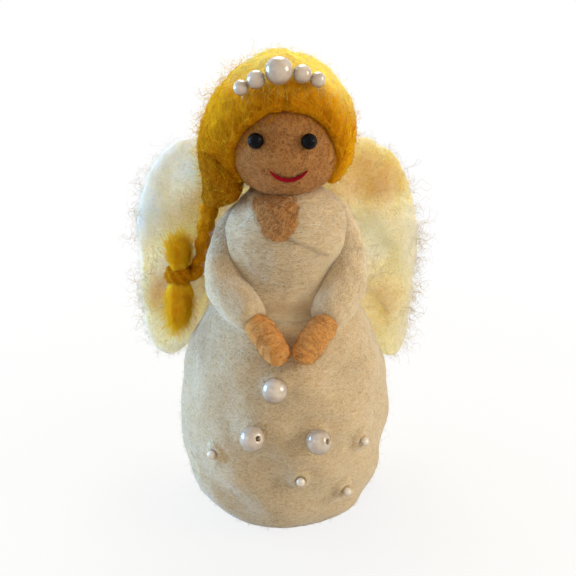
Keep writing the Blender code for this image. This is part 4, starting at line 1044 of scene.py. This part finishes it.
def hand_form(side):
    """A mitten of wool wound crosswise: a blunt limb with shallow rings of its windings."""
    wrist, tip = np.array(WRISTS[side]), np.array(HAND_TIPS[side])
    along = unit(tip - wrist)
    knots = [wrist - along * 2.0, wrist + along * 1.5, (wrist + tip) / 2 + (0, -0.3, 0.5), tip + along * 2.6]
    seed = 71 if side == "right" else 75

    def windings(angle, t):
        """Coarse and fine rings that lean a little round the hand."""
        slant = 0.35 * np.sin(angle + 0.8)
        return 1 + 0.014 * np.sin(TURN * (9 * t + slant)) + 0.008 * np.sin(TURN * (21 * t + 2 * slant))

    form = limb(knots, HAND_RADII, 96, 72, (0.3, 0.5, 0.8), blunt=7.0, twist=windings)
    return form.raised(0.14 * lumps(form.points, 4.5, seed) + 0.03 * lumps(form.points, 1.8, seed + 1))


# Beads

# A bead's bore as a share of its size, its rim in bore radii, and its wall in bore radii and half lengths
BORE_SHARE = 0.1
BORE_RIM = 1.6
BORE_WALL = ((1.3, -1.0), (1.0, -0.95), (1.0, -0.5), (1.0, 0.0), (1.0, 0.5), (1.0, 0.95), (1.3, 1.0))


def middle_of(name):
    """The middle of a CAD node's box, in millimetres."""
    low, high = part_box(name)
    return (np.array(low, float) + np.array(high, float)) / 2 / MM


def bead(cad_node, ending, size, bore, finish, body, slot):
    """A bored ball where its CAD node is: a ring section, an arc outside and the straight bore inside,
    carried round the bore's direction; the bore's rims are rounded."""
    radius, hole = size / 2, BORE_SHARE * size
    start = np.arcsin(BORE_RIM * hole / radius)
    arc = np.linspace(start, np.pi - start, 26)
    outside = np.stack([radius * np.sin(arc), radius * np.cos(arc)], axis=1)
    section = np.vstack([outside, np.array(BORE_WALL) * (hole, radius * np.cos(start))])
    bore = unit(np.asarray(bore, float))
    side = unit(np.cross(bore, (0.31, 0.52, 0.79)))
    up = np.cross(bore, side)
    angle = TURN * np.arange(48) / 48
    way = np.cos(angle)[:, None] * side + np.sin(angle)[:, None] * up
    points = middle_of(cad_node) + section[:, None, :1] * way + section[:, None, 1:] * bore
    rows, count = points.shape[:2]
    row, ring = np.meshgrid(np.arange(rows), np.arange(count), indexing="ij")
    after, above = (ring + 1) % count, (row + 1) % rows
    quads = np.stack([row * count + ring, above * count + ring, above * count + after, row * count + after],
                     axis=-1)
    obj = put(f"{cad_node}_{ending}", points.reshape(-1, 3), quads.reshape(-1, 4).tolist(), finish)
    dress(obj, body, slot, cad_node)


# Putting the pieces on their bodies

def dress(obj, body, slot, *nodes):
    """The piece rides on its body and stands for CAD nodes where it does. The slot is not used."""
    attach(obj, body)
    if nodes:
        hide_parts(*nodes)
    return obj


# Short curled fibres of the dress
CURLS = {"spread": 3.0, "curl": 1.0, "lift": 0.1, "radius": 0.04}


def felted(name, form, finish, loose_finish, groups, body, slot, shade=None):
    """The wool that stands for the CAD node of that name, and its fibres, on one body."""
    piece = dress(skin(f"{name}_wool", form, finish, shade), body, slot, name)
    dress(strands(f"{name}_fibres", groups, loose_finish), body, slot)
    return piece


def bending(name, form, finish, loose_finish, groups, shade=None):
    """The same for wool on no body, whose meshes keep their place in the world."""
    piece = skin(f"{name}_wool", form, finish, shade)
    for obj in (piece, strands(f"{name}_fibres", groups, loose_finish)):
        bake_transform(obj)
    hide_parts(name)


def make_skirt():
    """The skirt, with painted shade at the hem by the floor and on the right hip, and painted light in front
    under the waist.
    """
    form = skirt_form()
    z, azimuth = form.points[..., 2], azimuth_of(form.points)
    # Painted shade at the hem by the floor and on the right hip; painted light in front under the waist
    shade = -1.0 * ease(8.0, 0.5, z)
    shade -= 0.9 * np.exp(-((azimuth + 78) / 26) ** 2 - ((z - 49) / 8) ** 2)
    shade += 0.4 * ease(53.0, 57.0, z) * ease(60.0, 30.0, np.abs(azimuth))
    seen = ease(0.2, 1.5, z) * ease(59.4, 58.0, z) * (form.normals[..., 2] > -0.97)
    groups = [
        lying(form, 0.22, 6.0, 101, spread=0.5, curl=0.25, lift=0.04, density=seen, steps=4, radius=0.045),
        lying(form, 0.07, 2.6, 102, density=seen, **CURLS),
        straying(form, 2100, 1.3, 103, rise=0.5, curl=0.3, density=seen, steps=4, radius=0.028),
        straying(form, 160, 2.8, 104, rise=0.5, curl=0.6, density=seen, steps=7, radius=0.025),
    ]
    felted("skirt", form, DRESS, DRESS_FIBRE, groups, "torso", "dress_wool", shade)


def make_bodice():
    """The bodice, with painted light in the grooves where the left sleeve and the skirt join it, and with the
    patch and the neck.
    """
    form = bodice_form()
    x, y, z = np.moveaxis(form.points, 2, 0)
    # Painted light where the grooves by the left sleeve and above the skirt would lie in shade
    groove_light = seam(form.points, sleeve_limb("left"), 3.4) * ease(80.0, 74.0, z) * ease(2.0, -2.0, y)
    groove_light = 0.45 * np.maximum(groove_light, ease(64.0, 60.5, z) * ease(8.0, 4.0, np.abs(x - 1.0)))
    seen = ease(58.6, 60.0, z) * ease(86.6, 85.6, z)
    groups = [
        lying(form, 0.34, 7.0, 111, spread=0.3, curl=0.2, lift=0.06, density=seen, steps=6, radius=0.045),
        lying(form, 0.10, 2.6, 112, density=seen, **CURLS),
        straying(form, 900, 1.0, 113, rise=0.5, curl=0.25, density=seen, steps=5, radius=0.025),
    ]
    felted("bodice", form, BODICE, DRESS_FIBRE, groups, "torso", "dress_wool", groove_light)
    patch = patch_form()
    patch = patch.raised(0.12 * lumps(patch.points, 2.6, 15))
    top = np.zeros(patch.points.shape[:2])
    top[:31] = 1.0
    groups = [lying(patch, 0.9, 3.2, 115, spread=3.0, curl=0.7, lift=0.3, density=top, steps=7),
              straying(patch, 320, 1.5, 116, rise=0.4, curl=0.5, density=top)]
    felted("chest_patch", patch, PATCH, PATCH_FIBRE, groups, "torso", "skin_wool")
    neck = turned([(0.0, 80.7), (5.0, 80.7), (6.0, 81.2), (6.0, 88.5), (5.2, 89.2), (0.0, 89.2)], 96, 60)
    neck = neck.raised(0.12 * lumps(neck.points, 3.0, 17))
    dress(skin("neck_wool", neck, SKIN), "torso", "skin_wool", "neck")


def make_inside():
    """The core of coarse wool and the felt disc under it."""
    low, high = np.linspace(3.4, 58.5, 40), np.linspace(59.5, 80.0, 16)
    outline = np.vstack([[(0.0, 3.4)], np.stack([skirt_radius(low) - 3.6, low], axis=1),
                         np.stack([bodice_radius(high) - 2.6, high], axis=1), [(0.0, 80.2)]])
    core = turned(outline, 96, 80)
    core = core.raised(0.2 * lumps(core.points, 6.0, 81) - 0.2)
    dress(skin("core_wool_stuffing", core, CORE), "torso", "core_wool", "body_core")
    disc = turned([(0.0, 0.0), (15.7, 0.0), (16.2, 0.3), (16.3, 1.0), (16.3, 2.5), (15.8, 3.0), (0.0, 3.0)],
                  160, 90)
    disc = disc.raised(0.05 * lumps(disc.points, 2.0, 83) * ease(0.0, 0.4, disc.points[..., 2]))
    dress(skin("base_felt_disc", disc, BASE), "torso", "base_felt", "base_disc")


def make_head():
    """The head with its fibres, which keep clear of the eyes, the eyes and the mouth."""
    form = head_form()
    dress(skin("head_wool", form, SKIN), "head", "skin_wool", "head_ball")
    seen = ease(4.0, -2.0, form.points[..., 1])
    clear = np.ones_like(seen)
    for azimuth in EYES.values():
        away = np.linalg.norm(form.points - head_point(azimuth, EYE_ELEVATION, 0.8), axis=2)
        clear *= ease(1.8, 3.0, away)
    groups = [
        lying(form, 0.4, 2.6, 121, spread=3.0, curl=1.0, lift=0.12, density=seen * clear, radius=0.03),
        straying(form, 1100, 1.1, 122, rise=0.35, curl=0.4, density=seen * clear, steps=5, radius=0.025),
    ]
    dress(strands("face_fibres", groups, SKIN_FIBRE), "head", "skin_wool")
    for side, azimuth in EYES.items():
        bead(f"{side}_eye", "bead", EYE_SIZE, around(azimuth + 90, 1.0, 0.0), EYE, "head", "eye_bead")
    radii = (0.16, 0.3, 0.39, 0.45, 0.48, 0.49, 0.48, 0.45, 0.39, 0.3, 0.16)
    strand = limb(mouth_line(13, 0.35), radii, 60, 20, (0.0, 1.0, 0.2), blunt=24.0)
    strand = strand.raised(0.05 * lumps(strand.points, 1.2, 31))
    dress(skin("mouth_strand", strand, MOUTH), "head", "mouth_wool", "mouth")


def make_hair():
    """The hair cap, the fringe's fibres on the brow, and the side lock."""
    form, shade = hair_form()
    dress(skin("hair_cap_wool", form, HAIR, shade), "head", "hair_wool", "hair_cap")
    rows = np.arange(len(form.points))[:, None] * np.ones(form.points.shape[1])
    outer = ease(114.0, 110.0, rows)
    right = outer * ease(-4.0, -14.0, form.points[..., 0])
    groups = [
        lying(form, 0.55, 7.0, 131, heading=ALONG, spread=0.5, curl=0.15, lift=0.3, density=outer, steps=6,
              shade=shade),
        lying(form, 0.16, 5.0, 132, spread=3.0, curl=0.6, lift=0.5, density=outer, steps=6, shade=shade),
        straying(form, 1700, 2.0, 133, rise=0.5, curl=0.5, density=outer, steps=6, shade=shade),
        straying(form, 480, 4.2, 134, rise=0.4, curl=1.0, density=right, steps=10),
    ]
    dress(strands("hair_fibres", groups, HAIR_FIBRE), "head", "hair_wool")
    brow = head_form()
    share = face_share(brow.points)
    near = ease(0.60, 0.98, share) * ease(1.15, 1.0, share) * ease(0.0, -3.0, brow.points[..., 1])
    near *= ease(92.0, 96.0, brow.points[..., 2])
    # The fringe's fibres go over to the darker edge colour near the hairline, partly as painted shade
    groups = [lying(brow, 1.1, 3.4, 137, heading=-ALONG, spread=0.8, curl=0.3, lift=0.5, density=near,
                    steps=6, shade=near)]
    dress(strands("fringe_fibres", groups, HAIR_FIBRE), "head", "hair_wool")
    lock = lock_limb()
    far = np.linalg.norm((lock.points - HAIR_MIDDLE) / HAIR_HALF, axis=2) - 1
    amount = 1.0 * np.exp(-(far * 18 / 1.8) ** 2)
    lock = lock.raised(amount + 0.3 * lumps(lock.points, 5.0, 25) + 0.12 * lumps(lock.points, 2.0, 26))
    deep = 0.4 + 0.4 * ease(102.0, 91.0, lock.points[..., 2])
    groups = [lying(lock, 0.6, 6.0, 135, heading=ALONG, spread=0.45, curl=0.2, lift=0.3, steps=6, shade=deep),
              straying(lock, 500, 2.0, 136, rise=0.45, curl=0.5, steps=6)]
    felted("side_lock", lock, BRAID, BRAID_FIBRE, groups, "head", "hair_wool", deep)


# Course of the braid's strand from the lock's end, and its radii
STRAND_RUN = np.array([(0, 0, 1.2), (0, 0, -2.0), (-1.2, 1.6, -7.4), (-2.2, 2.6, -12.6), (-3.0, 2.8, -18.4),
                       (-5.0, 2.6, -22.2), (-7.8, 2.4, -22.4)])
STRAND_RADII = (1.9, 2.05, 2.0, 1.9, 1.9, 1.9, 1.8)
STRAND_TURNS = 2.6

# Name, lean, length, radii and first seed of the ends of the braid
BRAID_ENDS = (
    ("braid_tuft", (-0.05, 0.02, 1.0), 9.2, (1.5, 2.2, 2.6, 2.7, 2.7, 2.4, 1.5), 151),
    ("braid_tail", (-0.1, -0.02, -1.0), 16.4, (1.7, 2.8, 3.2, 3.3, 3.0, 2.2, 1.0), 161),
)


def make_braid():
    """The twisted strand from the lock's end, the knot, and the tuft and the tail that come out of it, darker
    at their roots."""
    strand = limb(LOCK_END + STRAND_RUN, STRAND_RADII, 150, 56, (0.0, 1.0, 0.2), blunt=14.0,
                  twist=lambda angle, t: 1 + 0.17 * np.cos(2 * (angle - TURN * STRAND_TURNS * t)))
    strand = strand.raised(0.14 * lumps(strand.points, 2.6, 27))
    groups = [lying(strand, 0.5, 5.0, 141, heading=1.15, spread=0.4, curl=0.1, lift=0.2, steps=6),
              straying(strand, 300, 1.8, 142, rise=0.5, curl=0.45)]
    bending("braid_strand", strand, BRAID, BRAID_FIBRE, groups)

    knot = globe(KNOT, (3.9, 3.2, 2.9), 60, 80)
    way = knot.points - KNOT
    amount = 0.28 * np.sin(2.6 * way[..., 0] + 1.8 * way[..., 2])
    knot = knot.raised(amount + 0.25 * lumps(knot.points, 2.6, 28))
    deep = np.full(knot.points.shape[:2], 0.15)
    groups = [lying(knot, 0.3, 4.0, 143, spread=1.2, curl=0.4, lift=0.25, steps=6, shade=deep),
              straying(knot, 120, 1.6, 144, rise=0.5, curl=0.4)]
    felted("braid_knot", knot, BRAID, BRAID_FIBRE, groups, "braid", "hair_wool", deep)

    for name, lean, length, radii, seed in BRAID_ENDS:
        lean = unit(np.array(lean))
        knots = [KNOT, KNOT + lean * length * 0.5 + (0.25, 0, 0), KNOT + lean * length]
        form = limb(knots, radii, 80, 64, (0.0, 1.0, 0.0), blunt=6.0,
                    twist=lambda angle, t: 1 + (0.04 + 0.06 * t) * np.sin(6 * angle + 2 * t))
        form = form.raised(0.25 * lumps(form.points, 4.0, seed) + 0.1 * lumps(form.points, 1.8, seed + 1))
        along = np.linspace(0.0, 1.0, 80)[:, None] * np.ones(64)
        root, loose = -0.9 * ease(0.36, 0.08, along), ease(0.1, 0.3, along)
        groups = [lying(form, 0.25, 4.4, seed + 2, heading=ALONG, spread=0.4, curl=0.2, lift=0.12,
                        steps=6, shade=root),
                  straying(form, 1700, 3.6, seed + 3, rise=0.3, curl=0.35, density=loose, lean=lean * 1.1,
                           steps=6, shade=root, radius=0.025)]
        felted(name, form, TUFT, TUFT_FIBRE, groups, "braid", "hair_wool", root)


def make_wings():
    """The wings: loose fibres, closer together along the rim, and darker wisps at the outer edge."""
    for side, seed, wisps in (("right", 200, 150), ("left", 230, 240)):
        form, shade = wing_form(side)
        body = f"{side}_wing"
        rim = 0.12 + ease(0.8, 0.3, np.abs(form.normals[..., 1]))
        groups = [
            lying(form, 0.2, 4.0, seed, spread=3.0, curl=0.6, lift=0.06, shade=shade),
            straying(form, 2200, 2.2, seed + 1, rise=0.5, curl=0.7, density=rim, shade=shade, steps=6),
        ]
        felted(body, form, WING, WING_FIBRE, groups, body, "wing_wool", shade)
        outer = SIDES[side] * form.normals[..., 0]
        edge = ease(0.45, 0.9, outer) * ease(95.0, 70.0, form.points[..., 2])
        groups = [straying(form, wisps, 4.6, seed + 2, rise=0.6, curl=1.2, density=edge, steps=12,
                           radius=0.028)]
        dress(strands(f"{side}_wing_wisps", groups, WISP), body, "wing_wool")


def make_arms():
    """The sleeves, each in two lengths of one limb, and the hands. The right sleeve's upper part has painted
    shadow, as under the hair."""
    for side, seed in (("right", 300), ("left", 330)):
        k, upper, fore = SIDES[side], f"{side}_upper_arm", f"{side}_forearm"
        bends = (
            ("upper", ("torso", upper), np.array((k * 10.0, 1.0, 81.0)), np.array((k * 15.2, -2.0, 71.0))),
            ("forearm", (upper, fore), np.array((k * 17.0, -4.4, 65.4)), np.array((k * 13.2, -9.6, 60.4))),
        )
        for (length, bodies, start, end), form in zip(bends, sleeve_forms(side)):
            # Painted shadow on the right sleeve's upper part, under the hair
            shadow = -0.9 * ease(69.0, 77.0, form.points[..., 2]) * (k < 0)
            groups = [
                lying(form, 0.24, 5.0, seed, heading=ALONG, spread=0.7, curl=0.25, lift=0.04, radius=0.045),
                lying(form, 0.1, 2.6, seed + 1, **CURLS),
                straying(form, 480, 1.1, seed + 2, rise=0.5, curl=0.3, steps=5, radius=0.025),
            ]
            bending(f"{side}_{length}_sleeve", form, SLEEVE, DRESS_FIBRE, groups,
                    shadow)
            seed += 5
        form = hand_form(side)
        groups = [lying(form, 0.9, 4.5, seed, spread=0.35, curl=0.12, lift=0.12),
                  straying(form, 240, 1.1, seed + 1, rise=0.4, curl=0.3)]
        felted(f"{side}_hand", form, HAND, HAND_FIBRE, groups, fore, "skin_wool")


def make_pearls():
    """Each pearl stands where its CAD node is; the tiara's bores follow its row. A stitch is finer than the
    CAD's: it goes through the bore and round the pearl to the wool on both sides."""
    row = np.array([middle_of(name) for name in TIARA_PEARLS])
    line = np.vstack([2 * row[0] - row[1], row, 2 * row[-1] - row[-2]])
    ends = 1.55 * row[[0, -1]] - 0.55 * row[[1, -2]]
    ends = ends + unit(HEAD_MIDDLE - ends) * 4.0
    route = np.vstack([ends[:1], row, ends[1:]])
    thread = limb(route, (0.16, 0.16), 120, 12, (0.0, 0.6, 0.8), blunt=60.0)
    dress(skin("tiara_thread_line", thread, THREAD), "head", "thread", "tiara_thread")
    for i, (name, size) in enumerate(TIARA_PEARLS.items()):
        bead(name, "round", size, line[i + 2] - line[i], PEARL, "head", "pearl")
    for name, _, bore, size, out in pearl_places():
        if size > SEED_LIMIT:
            bead(name, "round", size, bore, PEARL, "torso", "pearl")
        else:
            bead(name, "round", SEED_SIZE, bore, SEED_PEARL, "torso", "pearl")
        side = unit(bore - out * (bore @ out))
        lean = np.arcsin(bore @ out)
        angle = np.concatenate([np.linspace(np.pi + 1.0, np.pi + lean, 9), np.linspace(lean, -1.0, 9)])
        angle = angle[:, None]
        route = middle_of(name) + (size / 2 + 0.1) * (np.cos(angle) * side + np.sin(angle) * out)
        stitch = limb(route, (0.08, 0.08), 120, 8, np.cross(side, out), blunt=80.0)
        cad_stitch = f"pearl_stitch_{name[-1]}"
        dress(skin(f"{cad_stitch}_line", stitch, THREAD), "torso", "thread", cad_stitch)


def make_wires():
    """The arms' wires keep their CAD shape and get their own finish. The shoulder wire is shorter than the
    CAD's, so that it stays under the wool of the sloping shoulders."""
    line = [(x, 0.5, 77.2) for x in (-13.0, 0.0, 13.0)]
    wire = limb(line, (0.7, 0.7), 24, 20, (0, 1, 0), blunt=40.0)
    dress(skin("shoulder_wire_rod", wire, WIRE), "torso", "wire", "shoulder_wire")
    for name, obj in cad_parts.items():
        if "wire" in name:
            obj.data.materials.clear()
            obj.data.materials.append(WIRE)


# Stage

def white_to_camera(tree, kind, surface, share=1.0):
    """The surface, gone over to white light of that kind by a share where the camera, a gloss or a glass sees
    it."""
    path = node(tree, "LightPath").outputs
    seen = sums(tree, "MAXIMUM", path["Is Camera Ray"], path["Is Glossy Ray"])
    seen = sums(tree, "MAXIMUM", seen, path["Is Transmission Ray"])
    white = node(tree, kind, {"Color": (1, 1, 1, 1), "Strength": 1.0}).outputs[0]
    return node(tree, "MixShader", {0: sums(tree, "MULTIPLY", seen, share), 1: surface, 2: white}).outputs[0]


# Name, place in metres, size, watts and colour of the lamps
LAMPS = (
    ("window_left", (-0.50, 0.10, 0.12), 0.34, 3.6, (0.30, 0.62, 1.0)),
    ("fill_left", (-0.34, -0.36, 0.30), 0.12, 0.15, (1.0, 0.86, 0.64)),
    ("lamp_right", (0.50, -0.16, 0.26), 0.28, 1.65, (1.0, 0.90, 0.71)),
    ("light_behind", (0.0, 0.34, 0.50), 0.36, 2.8, (1.0, 0.95, 0.82)),
)
LAMP_AIM = Vector((0.0, 0.0, 0.06))
FLOOR_HALF = 900


def make_stage():
    """A pale floor, a white surround, and soft lamps: a cool one on the left, a warm one on the right, a weak
    one in front, and one behind for the wings."""
    floor_finish = bpy.data.materials.new("floor")
    floor_finish.use_nodes = True
    tree = floor_finish.node_tree
    tree.nodes.clear()
    pale = node(tree, "BsdfDiffuse", {"Color": rgb(214, 212, 206)}).outputs[0]
    place = node(tree, "TexCoord").outputs["Object"]
    away = node(tree, "VectorMath", {0: place}, operation="LENGTH").outputs["Value"]
    share = scaled(tree, away, 0.05, 0.16, 0.85, 1.0)
    node(tree, "OutputMaterial", {"Surface": white_to_camera(tree, "Emission", pale, share)})
    corners = [(x * FLOOR_HALF, y * FLOOR_HALF, 0) for x, y in ((-1, -1), (1, -1), (1, 1), (-1, 1))]
    put("floor", corners, [(0, 1, 2, 3)], floor_finish)

    world = bpy.data.worlds.new("surround")
    bpy.context.scene.world = world
    world.use_nodes = True
    tree = world.node_tree
    tree.nodes.clear()
    way = node(tree, "TexCoord").outputs["Generated"]
    height = node(tree, "SeparateXYZ", {0: way}).outputs["Z"]
    strength = scaled(tree, height, -0.2, 1.0, 0.33, 0.48)
    soft = node(tree, "Background", {"Color": (1.0, 0.84, 0.64, 1), "Strength": strength}).outputs[0]
    node(tree, "OutputWorld", {"Surface": white_to_camera(tree, "Background", soft)})

    for name, place, size, watts, colour in LAMPS:
        lamp = bpy.data.lights.new(name, "AREA")
        lamp.shape = "DISK"
        lamp.size = size
        lamp.energy = watts
        lamp.color = colour
        obj = bpy.data.objects.new(name, lamp)
        obj.location = place
        obj.rotation_euler = (LAMP_AIM - Vector(place)).to_track_quat("-Z", "Y").to_euler()
        bpy.context.scene.collection.objects.link(obj)


# The photograph's view in pixels, the sensor in millimetres, and the camera in metres and degrees
VIEW_WIDTH = 576.0
VIEW_FOCAL = 895.0
VIEW_SHIFT = (3.0, 4.5)
SENSOR_WIDTH = 36.0
CAMERA_PLACE = (0.0, -0.208, 0.152)
CAMERA_DOWN = 24.15


def make_camera():
    """The photograph's view, from the front and above."""
    data = bpy.data.cameras.new("photo_camera")
    data.sensor_width = SENSOR_WIDTH
    data.lens = VIEW_FOCAL / VIEW_WIDTH * SENSOR_WIDTH
    data.shift_x = VIEW_SHIFT[0] / VIEW_WIDTH
    data.shift_y = VIEW_SHIFT[1] / VIEW_WIDTH
    data.clip_start = 0.01
    camera = bpy.data.objects.new("photo_camera", data)
    camera.location = CAMERA_PLACE
    camera.rotation_euler = (np.radians(90 - CAMERA_DOWN), 0.0, 0.0)
    bpy.context.scene.collection.objects.link(camera)
    bpy.context.scene.camera = camera


make_camera()
make_stage()
make_skirt()
make_bodice()
make_inside()
make_head()
make_hair()
make_braid()
make_wings()
make_arms()
make_pearls()
make_wires()
bpy.context.scene.view_settings.view_transform = "Standard"
